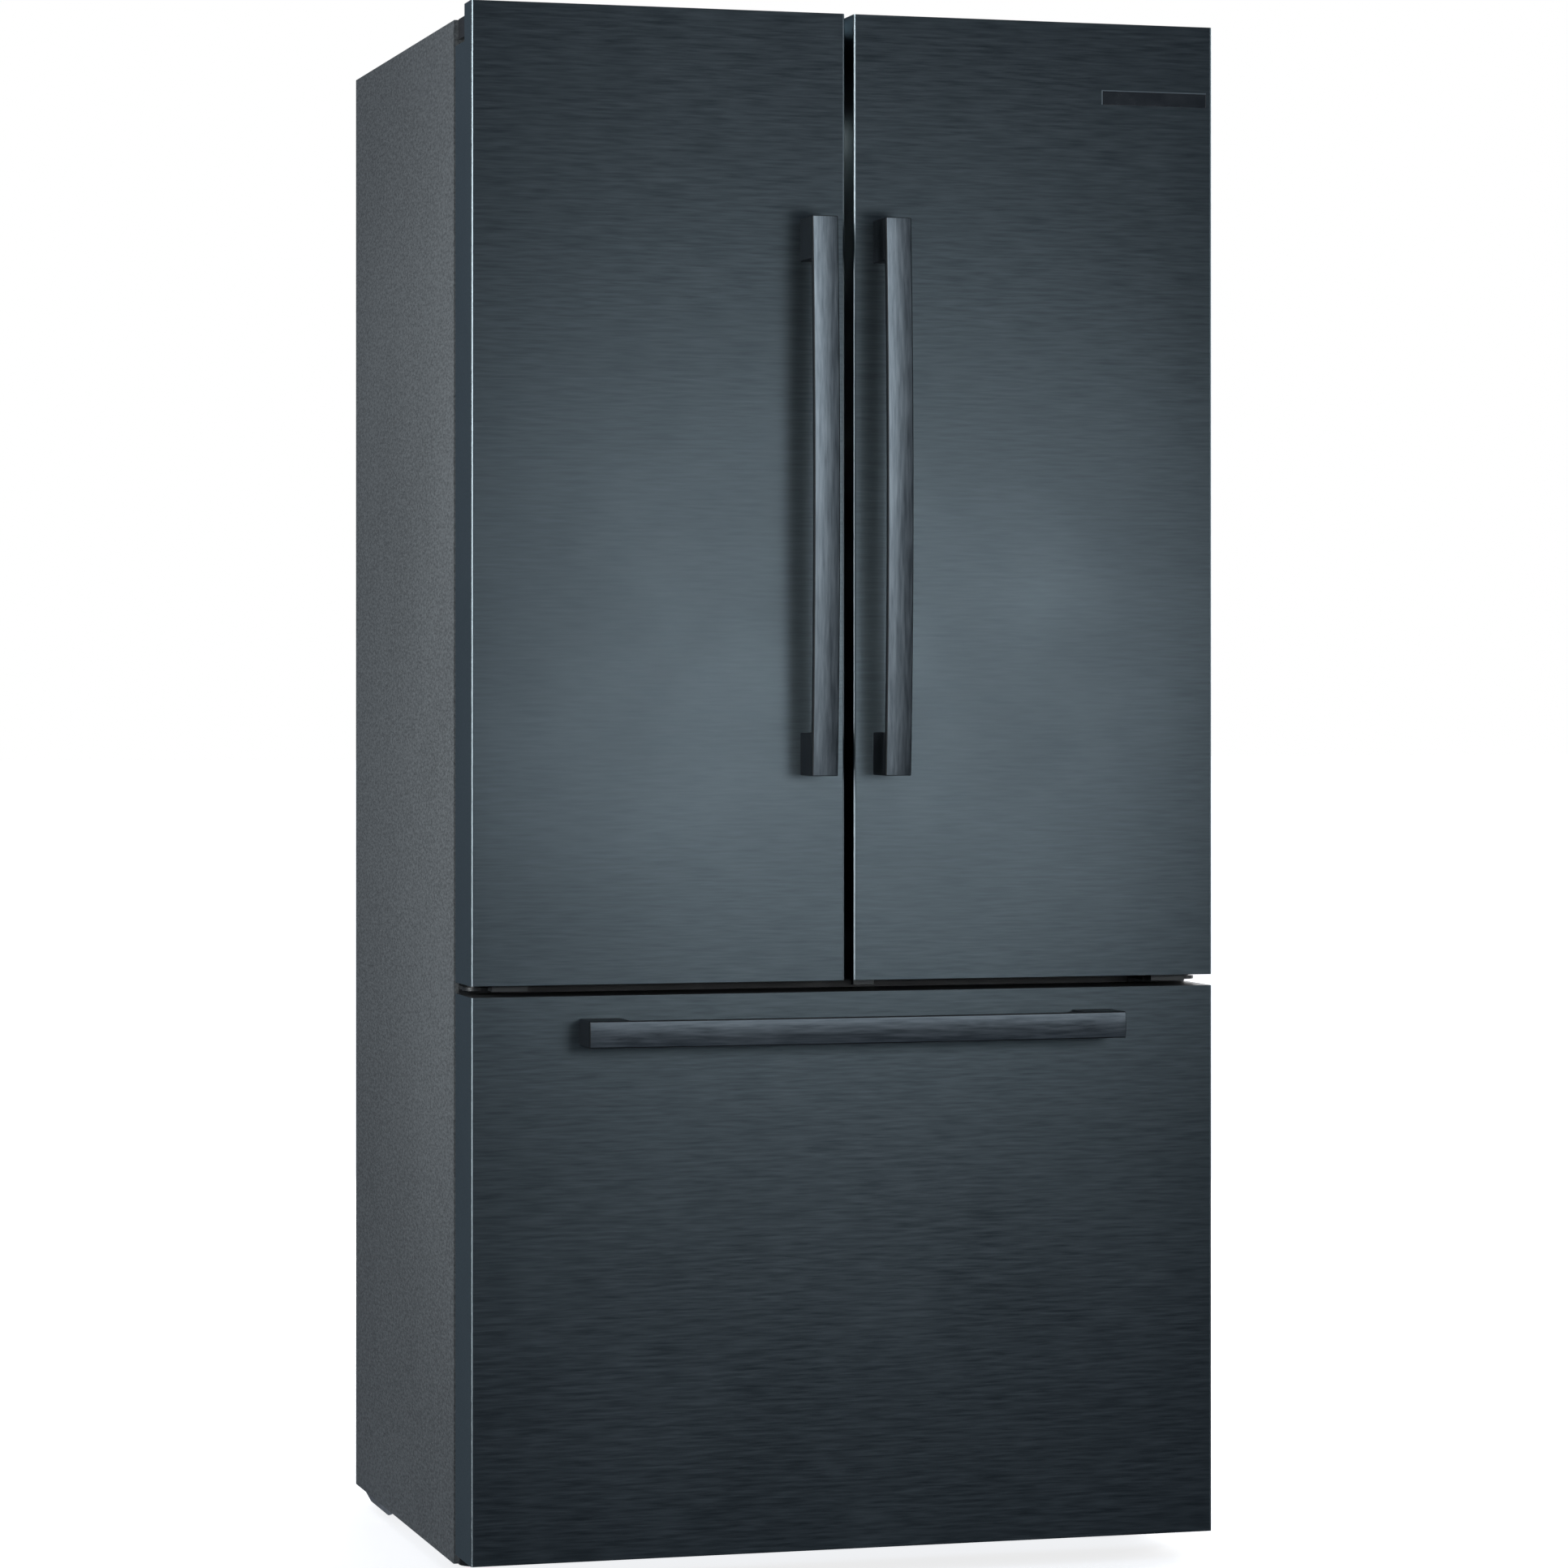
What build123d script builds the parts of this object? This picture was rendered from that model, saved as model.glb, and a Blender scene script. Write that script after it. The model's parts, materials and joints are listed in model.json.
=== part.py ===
from build123d import *
import os

# French door refrigerator. Millimetres, +Z up, +X to the right, the doors face -Y.
# The origin is on the floor, under the middle of the whole object's box.
# "Depth" is always measured backwards from the front face of the doors.

# ---- overall sizes -----------------------------------------------------------------------------
WIDTH = 905.0
DOOR_TOP = 1830.0
CABINET_BOTTOM, CABINET_TOP = 19.0, 1819.0
CABINET_FRONT, CABINET_REAR = 96.0, 698.0
DOOR_THICK = 87.0
HANDLE_REACH = 63.0
DOOR_BOTTOM = 697.5
DRAWER_BOTTOM, DRAWER_TOP = 31.3, 684.5
DOOR_GAP = 10.8

HALF = WIDTH / 2
FRONT = HANDLE_REACH - (CABINET_REAR + HANDLE_REACH) / 2

# ---- sheet and wall sizes ----------------------------------------------------------------------
SHEET = 1.0
LINER = 2.0
BEND = 3.0
CAP = 12.0
PANEL_OUTER = CABINET_REAR - LINER
REAR_PANEL = PANEL_OUTER - SHEET

# ---- inner spaces ------------------------------------------------------------------------------
CAVITY_HALF = 404.5
FLANGE_INNER = 418.5
INSIDE = (SHEET - HALF, HALF - SHEET)
OPENING = (-FLANGE_INNER, FLANGE_INNER)
FRIDGE_LOW, FRIDGE_HIGH = 744.0, 1755.0
FREEZER_LOW, FREEZER_HIGH = 76.0, 639.0
CAVITY_REAR = 640.0
CROSS_LOW, CROSS_HIGH, CROSS_DEEP = 645.0, 738.0, 25.0
TOP_FLANGE_LOW = 1761.0
BASE_FLANGE_HIGH = 70.0
STEP_DEPTH, STEP_HIGH = 480.0, 256.0
STEP_FLOOR = 300.0

# ---- hinges ------------------------------------------------------------------------------------
PIN_X, PIN_DEPTH, PIN_R, PIN_BORE = 433.0, 60.0, 5.0, 5.05
NOTCH_X, NOTCH_DEPTH, NOTCH_LOW = 377.5, 37.0, 1787.0
FLAP_X, FLAP_DEPTH, FLAP_PIN_R, FLAP_BORE = -38.0, 101.0, 3.0, 3.05
FLAP_LOW, FLAP_HIGH = 752.0, 1747.0

# ---- handles -----------------------------------------------------------------------------------
BAR_LENGTH, BAR_WIDTH, BAR_EDGE, BAR_CROWN = 650.0, 31.0, 4.5, 3.5
BAR_BOW, MOUNT_LENGTH = 9.5, 50.0
BAR_BACK = HANDLE_REACH - BAR_CROWN - BAR_EDGE
BAR_RADIUS = (BAR_LENGTH / 2) ** 2 / (2 * BAR_BOW) + BAR_BOW / 2
DOOR_BAR_X, DOOR_BAR_Z, DRAWER_BAR_Z = 44.5, 1263.0, 643.0

# ---- rolling and levelling ---------------------------------------------------------------------
ROLLER_R, ROLLER_WIDTH, AXLE_R, ROLLER_BORE, ROLLER_DEPTH = 17.0, 26.0, 4.0, 4.05, 578.0
FOOT_X, FOOT_DEPTH, STEM_R, STEM_BORE = 405.0, 196.0, 5.0, 5.05
FOOT_PAD_R, FOOT_PAD_HIGH, STEM_TOP = 20.0, 10.0, 54.0
BOSS_R, BOSS_TOP = 14.0, 58.0

# ---- fans --------------------------------------------------------------------------------------
COLD_FAN_Z, COLD_FAN_R = 570.0, 48.0
SHAFT_R, MOTOR_BORE = 2.5, 2.55
WARM_FAN_X, WARM_FAN_DEPTH, WARM_FAN_Z, WARM_FAN_R = -60.0, 590.0, 130.0, 58.0

SHELF_LEVELS = (1130.0, 1330.0, 1530.0)
CRISPER_LID = 935.0
BIN_LEVELS = (790.0, 1150.0, 1500.0)
BIN_REAR, BIN_HIGH, BIN_RAIL_HIGH, BIN_CORNER = 195.0, 95.0, 120.0, 9.0


def y_at(depth):
    return FRONT + depth


def block(x, depth, z, mode=Mode.ADD):
    """A box between two limits on each axis, joined to the part that is being built."""
    (x0, x1), (d0, d1), (z0, z1) = sorted(x), sorted(depth), sorted(z)
    with Locations(((x0 + x1) / 2, y_at((d0 + d1) / 2), (z0 + z1) / 2)):
        Box(x1 - x0, d1 - d0, z1 - z0, mode=mode)


def upright(x, depth, z, radius, mode=Mode.ADD):
    """A round bar or hole along Z."""
    with Locations((x, y_at(depth), (z[0] + z[1]) / 2)):
        Cylinder(radius, abs(z[1] - z[0]), mode=mode)


def crossways(x, depth, z, radius, mode=Mode.ADD):
    """A round bar or hole along X."""
    with Locations(Location(((x[0] + x[1]) / 2, y_at(depth), z), (0, 90, 0))):
        Cylinder(radius, abs(x[1] - x[0]), mode=mode)


def endways(x, depth, z, radius, mode=Mode.ADD):
    """A round bar or hole along Y."""
    with Locations(Location((x, y_at((depth[0] + depth[1]) / 2), z), (90, 0, 0))):
        Cylinder(radius, abs(depth[1] - depth[0]), mode=mode)


def front_plane(depth):
    """A plane that faces the front, with X to the right and Z up."""
    return Plane(origin=(0, y_at(depth), 0), x_dir=(1, 0, 0), z_dir=(0, -1, 0))


def rectangle(x, z, mode=Mode.ADD):
    with Locations(((x[0] + x[1]) / 2, (z[0] + z[1]) / 2)):
        Rectangle(abs(x[1] - x[0]), abs(z[1] - z[0]), mode=mode)


def save(piece, name):
    piece.part.label = name
    export_step(piece.part, f"parts/{name}.step")


def save_group(pieces, name):
    """Several separate solids of one kind, kept in one file."""
    group = Compound(label=name, children=[p.part for p in pieces])
    export_step(group, f"parts/{name}.step")


# ================================================================================================
# Cabinet shell
# ================================================================================================
def cabinet_wrap():
    """One sheet folded over both sides and the top, with a flange round the front opening."""
    with BuildPart() as wrap:
        with BuildSketch(front_plane(CABINET_FRONT)):
            rectangle((-HALF, HALF), (CABINET_BOTTOM, CABINET_TOP))
            rectangle(INSIDE, (CABINET_BOTTOM, CABINET_TOP - SHEET), Mode.SUBTRACT)
        extrude(amount=-(CABINET_REAR - CABINET_FRONT))
        with BuildSketch(front_plane(CABINET_FRONT)):
            rectangle((-HALF, HALF), (CABINET_BOTTOM, CABINET_TOP))
            rectangle(OPENING, (CABINET_BOTTOM, TOP_FLANGE_LOW), Mode.SUBTRACT)
        extrude(amount=-SHEET)
        top_edges = wrap.edges().filter_by(Axis.Y).group_by(Axis.Z)[-1]
        fillet(top_edges.sort_by(Axis.X)[0], BEND / 3)
        top_edges = wrap.edges().filter_by(Axis.Y).group_by(Axis.Z)[-1]
        fillet(top_edges.sort_by(Axis.X)[-1], BEND / 3)
    save(wrap, "cabinet_wrap")


BEAD_LEVELS = (620.0, 1220.0)
BEAD_LENGTH, BEAD_WIDTH, BEAD_RISE, BEAD_SLOPE = 640.0, 26.0, 1.5, 20


def back_panel():
    """Flat sheet over the insulation, with two stiffening beads pressed outwards."""
    with BuildPart() as panel:
        block(INSIDE, (REAR_PANEL, PANEL_OUTER), (STEP_HIGH, CABINET_TOP - SHEET))
        for z in BEAD_LEVELS:
            with BuildSketch(front_plane(PANEL_OUTER)):
                with Locations((0, z)):
                    SlotOverall(BEAD_LENGTH, BEAD_WIDTH)
            extrude(amount=-BEAD_RISE, taper=BEAD_SLOPE)
    save(panel, "back_panel")


def base_pan():
    """Bottom sheet that steps up over the compressor space, with the front flange and foot bosses."""
    with BuildPart() as pan:
        block(INSIDE, (CABINET_FRONT + SHEET, STEP_DEPTH), (CABINET_BOTTOM, CABINET_BOTTOM + SHEET))
        block(INSIDE, (STEP_DEPTH - SHEET, STEP_DEPTH), (CABINET_BOTTOM, STEP_HIGH))
        block(INSIDE, (STEP_DEPTH - SHEET, PANEL_OUTER), (STEP_HIGH - SHEET, STEP_HIGH))
        block(OPENING, (CABINET_FRONT, CABINET_FRONT + SHEET), (CABINET_BOTTOM, BASE_FLANGE_HIGH))
        for side in (-1, 1):
            upright(side * FOOT_X, FOOT_DEPTH, (CABINET_BOTTOM, BOSS_TOP), BOSS_R)
        for side in (-1, 1):
            bore = (CABINET_BOTTOM - 1, BOSS_TOP + 2)
            upright(side * FOOT_X, FOOT_DEPTH, bore, STEM_BORE, Mode.SUBTRACT)
    save(pan, "base_pan")


ROLLER_X = 414.0
CHEEK_OUTER = (446.5, 449.0)
CHEEK_INNER = (397.5, 400.5)
CHEEK_LOW, CHEEK_HIGH = 9.7, 36.0
BASE_HALF = HALF - 2.5
BASE_SHEET, BASE_LIP = 2.0, 15.0
AXLE_COLLAR_R, SIDE_PLAY = 7.0, 0.5
FAN_PLATE = (WARM_FAN_X - 22.0, WARM_FAN_X - 20.0)
FAN_PLATE_DEPTH, FAN_PLATE_HIGH = (505.0, 675.0), 215.0
MOTOR_R = 20.0


def roller_cheek(x):
    """Side plate of a rear roller bracket, with its lower edge sloped at both ends."""
    low = CABINET_BOTTOM
    corners = [
        (468, low),
        (505, CHEEK_LOW),
        (615, CHEEK_LOW),
        (666, low),
        (666, CHEEK_HIGH),
        (484, CHEEK_HIGH),
        (484, low),
    ]
    with BuildSketch(Plane.YZ.offset(min(x))) as outline:
        with BuildLine():
            Polyline([(y_at(d), z) for d, z in corners], close=True)
        make_face()
    extrude(outline.sketch, amount=abs(x[1] - x[0]))


def compressor_base():
    """Rear base plate: carries the compressor, the fan ring and the two roller brackets."""
    low = CABINET_BOTTOM + SHEET
    front, rear = STEP_DEPTH + 2, REAR_PANEL - 3
    with BuildPart() as base:
        block((-BASE_HALF, BASE_HALF), (front, rear), (low, low + BASE_SHEET))
        block((-BASE_HALF, BASE_HALF), (front, front + BASE_SHEET), (low, low + BASE_LIP))
        block((-BASE_HALF, BASE_HALF), (rear - BASE_SHEET, rear), (low, low + BASE_LIP))
        for side in (-1, 1):
            slot = (side * (ROLLER_X - ROLLER_WIDTH / 2 - SIDE_PLAY), side * CHEEK_OUTER[0])
            slot_depth = (ROLLER_DEPTH - ROLLER_R - 5, ROLLER_DEPTH + ROLLER_R + 5)
            block(slot, slot_depth, (low - 1, low + BASE_SHEET + 1), Mode.SUBTRACT)
            roller_cheek(sorted((side * CHEEK_OUTER[0], side * CHEEK_OUTER[1])))
            roller_cheek(sorted((side * CHEEK_INNER[0], side * CHEEK_INNER[1])))
            crossways((side * CHEEK_INNER[0], side * CHEEK_OUTER[1]), ROLLER_DEPTH, ROLLER_R, AXLE_R)
            spacer = (side * (ROLLER_X + ROLLER_WIDTH / 2 + SIDE_PLAY), side * CHEEK_OUTER[0])
            crossways(spacer, ROLLER_DEPTH, ROLLER_R, AXLE_COLLAR_R)
        # fan ring: an upright plate with a round opening, a motor can and four arms
        block(FAN_PLATE, FAN_PLATE_DEPTH, (low, FAN_PLATE_HIGH))
        through = (FAN_PLATE[0] - 1, FAN_PLATE[1] + 1)
        crossways(through, WARM_FAN_DEPTH, WARM_FAN_Z, WARM_FAN_R + 3, Mode.SUBTRACT)
        for z in (-1, 1):
            for d in (-1, 1):
                arm_depth = (WARM_FAN_DEPTH + d * 8, WARM_FAN_DEPTH + d * 12)
                block(FAN_PLATE, arm_depth, (WARM_FAN_Z, WARM_FAN_Z + z * (WARM_FAN_R + 6)))
        motor = (WARM_FAN_X - 52, WARM_FAN_X - 14)
        motor_bore = (WARM_FAN_X - 40, WARM_FAN_X - 13)
        crossways(motor, WARM_FAN_DEPTH, WARM_FAN_Z, MOTOR_R)
        crossways(motor_bore, WARM_FAN_DEPTH, WARM_FAN_Z, MOTOR_BORE, Mode.SUBTRACT)
    save(base, "compressor_base")


def crossmember():
    """Steel channel between the two compartments, which both sets of gaskets close on."""
    with BuildPart() as beam:
        block(OPENING, (CABINET_FRONT, CABINET_FRONT + SHEET), (CROSS_LOW, CROSS_HIGH))
        for z in (CROSS_LOW, CROSS_HIGH - SHEET):
            block(OPENING, (CABINET_FRONT, CABINET_FRONT + CROSS_DEEP), (z, z + SHEET))
    save(beam, "crossmember")


KICK_HALF, KICK_THICK, KICK_HIGH = 446.0, 5.0, 30.0
KICK_SLOT = (18.0, 4.0)
KICK_SLOT_PITCH, KICK_SLOT_COUNT, KICK_SLOT_DEEP = 26.0, 30, 3.0


def kick_plate():
    """Black plastic plinth below the drawer front, with a row of air slots."""
    face = CABINET_FRONT - KICK_THICK
    with BuildPart() as plate:
        block((-KICK_HALF, KICK_HALF), (face, CABINET_FRONT), (CABINET_BOTTOM, KICK_HIGH))
        with BuildSketch(front_plane(face)):
            with Locations((0, (CABINET_BOTTOM + KICK_HIGH) / 2)):
                with GridLocations(KICK_SLOT_PITCH, 1, KICK_SLOT_COUNT, 1):
                    SlotOverall(*KICK_SLOT)
        extrude(amount=-KICK_SLOT_DEEP, mode=Mode.SUBTRACT)
    save(plate, "kick_plate")


# ================================================================================================
# Liners and insulation
# ================================================================================================
def freezer_space(grow, mode=Mode.ADD):
    """The freezer space, grown on all sides: a step and a slope clear the compressor behind it."""
    corners = [
        (CABINET_FRONT, FREEZER_LOW),
        (433, FREEZER_LOW),
        (433, 262),
        (478, STEP_FLOOR),
        (CAVITY_REAR, STEP_FLOOR),
        (CAVITY_REAR, FREEZER_HIGH),
        (CABINET_FRONT, FREEZER_HIGH),
    ]
    with BuildSketch(Plane.YZ.offset(-CAVITY_HALF - grow)) as outline:
        with BuildLine():
            Polyline([(y_at(d), z) for d, z in corners], close=True)
        make_face()
        if grow:
            offset(amount=grow, kind=Kind.INTERSECTION)
    extrude(outline.sketch, amount=2 * (CAVITY_HALF + grow), mode=mode)


def freezer_liner():
    with BuildPart() as tub:
        freezer_space(LINER)
        block((-500, 500), (0, CABINET_FRONT), (0, 700), Mode.SUBTRACT)
        block(OPENING, (CABINET_FRONT, CABINET_FRONT + LINER), (BASE_FLANGE_HIGH, CROSS_LOW))
        freezer_space(0, Mode.SUBTRACT)
        for side in (-1, 1):
            pad = (side * CAVITY_HALF, side * (CAVITY_HALF - 6))
            block(pad, (470, 545), (STEP_FLOOR, STEP_FLOOR + 8))
    save(tub, "freezer_liner")


LEDGE_X, LEDGE_DEPTH, LEDGE_THICK = 392.0, (205.0, 618.0), 12.0
SHELF_FRONT, SHELF_REAR = 215.0, 608.0
SHELF_HALF, SHELF_RIM, SHELF_UNDER = 402.0, 6.0, 8.0
PANE = 4.0
PANE_X = (SHELF_RIM - SHELF_HALF, SHELF_HALF - SHELF_RIM)
PANE_DEPTH = (SHELF_FRONT + SHELF_RIM, SHELF_REAR - SHELF_RIM)


def fridge_liner():
    """Moulded tub with shelf ledges along both sides and ribs on the floor."""
    wall = CAVITY_HALF + LINER
    height = (FRIDGE_LOW - LINER, FRIDGE_HIGH + LINER)
    with BuildPart() as tub:
        block((-wall, wall), (CABINET_FRONT, CAVITY_REAR + LINER), height)
        block(OPENING, (CABINET_FRONT, CABINET_FRONT + LINER), (CROSS_HIGH, TOP_FLANGE_LOW))
        space = (-CAVITY_HALF, CAVITY_HALF)
        block(space, (CABINET_FRONT - 1, CAVITY_REAR), (FRIDGE_LOW, FRIDGE_HIGH), Mode.SUBTRACT)
        for level in (CRISPER_LID, *SHELF_LEVELS):
            for side in (-1, 1):
                ledge_z = (level - SHELF_UNDER - LEDGE_THICK, level - SHELF_UNDER)
                block((side * CAVITY_HALF, side * LEDGE_X), LEDGE_DEPTH, ledge_z)
    save(tub, "fridge_liner")


def insulation_foam():
    """Foam that fills the space between the outer sheets and the liners."""
    wall = CAVITY_HALF + LINER
    low = CABINET_BOTTOM + SHEET
    fridge_height = (FRIDGE_LOW - LINER, FRIDGE_HIGH + LINER)
    with BuildPart() as foam:
        block(INSIDE, (CABINET_FRONT + SHEET, REAR_PANEL), (low, CABINET_TOP - SHEET))
        block((-wall, wall), (0, CAVITY_REAR + LINER), fridge_height, Mode.SUBTRACT)
        block(OPENING, (0, CABINET_FRONT + LINER), (CROSS_HIGH, TOP_FLANGE_LOW), Mode.SUBTRACT)
        freezer_space(LINER, Mode.SUBTRACT)
        block(OPENING, (0, CABINET_FRONT + LINER), (BASE_FLANGE_HIGH, CROSS_LOW), Mode.SUBTRACT)
        block((-500, 500), (STEP_DEPTH - SHEET, 700), (0, STEP_HIGH), Mode.SUBTRACT)
        for z in (CROSS_LOW, CROSS_HIGH - SHEET):
            block(OPENING, (0, CABINET_FRONT + CROSS_DEEP), (z, z + SHEET), Mode.SUBTRACT)
        for side in (-1, 1):
            upright(side * FOOT_X, FOOT_DEPTH, (0, BOSS_TOP), BOSS_R, Mode.SUBTRACT)
    save(foam, "insulation_foam")


# ================================================================================================
# Fridge fittings
# ================================================================================================
def shelf_frame(level):
    """Plastic edge frame of a glass shelf; the pane lies in a step round its inside."""
    under = level - SHELF_UNDER
    with BuildPart() as frame:
        block((-SHELF_HALF, SHELF_HALF), (SHELF_FRONT, SHELF_REAR), (under, level + 4))
        block(PANE_X, PANE_DEPTH, (level - PANE, level + 5), Mode.SUBTRACT)
        block((-380, 380), (SHELF_FRONT + 18, SHELF_REAR - 18), (under - 1, level), Mode.SUBTRACT)
        fillet(frame.edges().filter_by(Axis.X).group_by(Axis.Y)[0], 3)
    return frame


def shelf_pane(level):
    with BuildPart() as pane:
        block(PANE_X, PANE_DEPTH, (level - PANE, level))
    return pane


def shelves():
    levels = (CRISPER_LID, *SHELF_LEVELS)
    save_group([shelf_frame(level) for level in levels], "shelf_frames")
    save_group([shelf_pane(level) for level in levels], "shelf_panes")


DUCT_LOW, DUCT_HIGH, DUCT_FRONT = CRISPER_LID + 25, 1740.0, 613.0
DUCT_FOOT_HALF, DUCT_FACE_HALF = 150.0, 138.0
VENT_LEVELS = (1215.0, 1415.0, 1620.0)
VENT_ROWS, VENT_PITCH, VENT_DEEP = 4, 14.0, 12.0


def air_duct():
    """Moulded tower on the rear wall that blows cold air between the shelves."""
    with BuildPart() as duct:
        with BuildSketch(Plane.XY.offset(DUCT_LOW)):
            with BuildLine():
                Polyline(
                    (-DUCT_FOOT_HALF, y_at(CAVITY_REAR)),
                    (-DUCT_FACE_HALF, y_at(DUCT_FRONT)),
                    (DUCT_FACE_HALF, y_at(DUCT_FRONT)),
                    (DUCT_FOOT_HALF, y_at(CAVITY_REAR)),
                    close=True,
                )
            make_face()
        extrude(amount=DUCT_HIGH - DUCT_LOW)
        with BuildSketch(front_plane(DUCT_FRONT)):
            for level in VENT_LEVELS:
                for side in (-1, 1):
                    for row in range(VENT_ROWS):
                        with Locations((side * 78, level + VENT_PITCH * row)):
                            SlotOverall(80, 6)
        extrude(amount=-VENT_DEEP, mode=Mode.SUBTRACT)
    save(duct, "air_duct")


CONSOLE_HALF, CONSOLE_DEPTH, CONSOLE_LOW = 230.0, (200.0, 400.0), 1727.0
LENS_HALF, LENS_DEPTH, LENS_DEEP = 150.0, (270.0, 370.0), 6.0
KEY_PITCH, KEY_COUNT, KEY_DEEP = 34.0, 7, 1.2


def control_console():
    """Ceiling console with the touch keys and a recess for the lamp lens."""
    recess = (CONSOLE_LOW - 1, CONSOLE_LOW + LENS_DEEP)
    with BuildPart() as console:
        block((-CONSOLE_HALF, CONSOLE_HALF), CONSOLE_DEPTH, (CONSOLE_LOW, FRIDGE_HIGH))
        fillet(console.edges().filter_by(Axis.Z), 12)
        block((-LENS_HALF, LENS_HALF), LENS_DEPTH, recess, Mode.SUBTRACT)
        with BuildSketch(front_plane(CONSOLE_DEPTH[0])):
            with Locations((0, (CONSOLE_LOW + FRIDGE_HIGH) / 2)):
                with GridLocations(KEY_PITCH, 1, KEY_COUNT, 1):
                    SlotOverall(22, 10)
        extrude(amount=-KEY_DEEP, mode=Mode.SUBTRACT)
    save(console, "control_console")


def tub(x, depth, z, wall, front_wall, corner):
    """An open-topped box with rounded upright corners."""
    cx, cy = (x[0] + x[1]) / 2, y_at((depth[0] + depth[1]) / 2)
    width, length = abs(x[1] - x[0]), depth[1] - depth[0]
    with BuildSketch(Plane.XY.offset(z[0])) as outside:
        with Locations((cx, cy)):
            RectangleRounded(width, length, corner)
    extrude(outside.sketch, amount=z[1] - z[0])
    with BuildSketch(Plane.XY.offset(z[0] + wall)) as inside:
        with Locations((cx, cy + (front_wall - wall) / 2)):
            RectangleRounded(width - 2 * wall, length - wall - front_wall, corner - wall)
    extrude(inside.sketch, amount=z[1] - z[0], mode=Mode.SUBTRACT)


CRISPER_FRONT, CRISPER_REAR, CRISPER_HIGH = 262.0, 600.0, 918.0
BIN_WALL = 2.5
GRIP_FRONT, GRIP_TOP, GRIP_END = 250.0, 905.0, 40.0


def crisper(side):
    x = sorted((side * 4.0, side * (LEDGE_X - 1.5)))
    grip = (x[0] + GRIP_END, x[1] - GRIP_END)
    with BuildPart() as drawer:
        tub(x, (CRISPER_FRONT, CRISPER_REAR), (FRIDGE_LOW + 1, CRISPER_HIGH), BIN_WALL, 4, 14)
        # grip lip along the top of the front
        block(grip, (GRIP_FRONT, CRISPER_FRONT), (GRIP_TOP - 5, GRIP_TOP))
        block(grip, (GRIP_FRONT, GRIP_FRONT + 3), (GRIP_TOP - 17, GRIP_TOP))
    save(drawer, f"{'left' if side < 0 else 'right'}_crisper")


# ================================================================================================
# Cooling system
# ================================================================================================
EVAPORATOR_PITCH, CONDENSER_PITCH, TUBE_ROWS = 20.0, 12.0, 4
FIN, END_PLATE, TUBE_R, TUBE_END = 0.8, 2.0, 4.0, 12.0


def fin_block(x, depth, z, pitch, rows, name):
    """Finned tube block: thin upright fins on straight tube rows between two end plates."""
    with BuildPart() as stack:
        block((x[0], x[0] + END_PLATE), depth, z)
        block((x[1] - END_PLATE, x[1]), depth, z)
        count = int((x[1] - x[0]) // pitch)
        for i in range(1, count):
            block((x[0] + i * pitch, x[0] + i * pitch + FIN), depth, z)
        middle = (depth[0] + depth[1]) / 2
        spread = (depth[1] - depth[0]) / 4
        for i in range(rows):
            height = z[0] + (i + 0.5) * (z[1] - z[0]) / rows
            for d in (middle - spread, middle + spread):
                crossways((x[0] - TUBE_END, x[1] + TUBE_END), d, height, TUBE_R)
    save(stack, name)


COVER_HALF, COVER_FRONT, COVER_WALL = 402.0, 555.0, 4.0
COVER_LOW, COVER_HIGH = STEP_FLOOR + 1, FREEZER_HIGH - 2


def evaporator_cover():
    """Panel in front of the evaporator, with the fan opening, its motor arms and return slots."""
    whole, deep = (-COVER_HALF, COVER_HALF), (COVER_FRONT, CAVITY_REAR)
    with BuildPart() as cover:
        block(whole, (COVER_FRONT, COVER_FRONT + COVER_WALL), (COVER_LOW, COVER_HIGH))
        for x in (-COVER_HALF, COVER_HALF - COVER_WALL):
            block((x, x + COVER_WALL), deep, (COVER_LOW, COVER_HIGH))
        block(whole, deep, (COVER_HIGH - COVER_WALL, COVER_HIGH))
        endways(0, (COVER_FRONT - 5, COVER_FRONT + 7), COLD_FAN_Z, COLD_FAN_R + 4, Mode.SUBTRACT)
        endways(0, (590, 618), COLD_FAN_Z, 18)
        for turn in (-1, 1):
            block((turn * 15, turn * 70), (600, 606), (COLD_FAN_Z - 3, COLD_FAN_Z + 3))
            block((turn * 64, turn * 70), (558, 606), (COLD_FAN_Z - 3, COLD_FAN_Z + 3))
        endways(0, (585, 612), COLD_FAN_Z, MOTOR_BORE, Mode.SUBTRACT)
        with BuildSketch(front_plane(COVER_FRONT)):
            with Locations((0, 330)):
                with GridLocations(60, 16, 11, 2):
                    SlotOverall(46, 6)
        extrude(amount=-COVER_WALL, mode=Mode.SUBTRACT)
    save(cover, "evaporator_cover")


def fan(name, plane, hub_r, tip_r, thick, blades, shaft):
    """Axial fan: hub, pitched blades and a shaft that runs back into its motor."""
    with BuildPart(plane) as rotor:
        Cylinder(hub_r, thick)
        for i in range(blades):
            angle = i * 360 / blades
            reach = (hub_r + tip_r) / 2 - 1
            with Locations(Location((0, 0, 0), (0, 0, angle)) * Location((reach, 0, 0), (28, 0, 0))):
                Box(tip_r - hub_r + 2, hub_r * 1.7, 1.6)
        Cylinder(tip_r, thick, mode=Mode.INTERSECT)
        with Locations((0, 0, shaft / 2)):
            Cylinder(SHAFT_R, shaft)
    save(rotor, name)


COMPRESSOR_X, COMPRESSOR_DEPTH = 235.0, 590.0
RUBBER_FOOT_X, RUBBER_FOOT_DEPTH, RUBBER_FOOT_R, RUBBER_FOOT_HIGH = 84.0, 38.0, 13.0, 12.0


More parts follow.
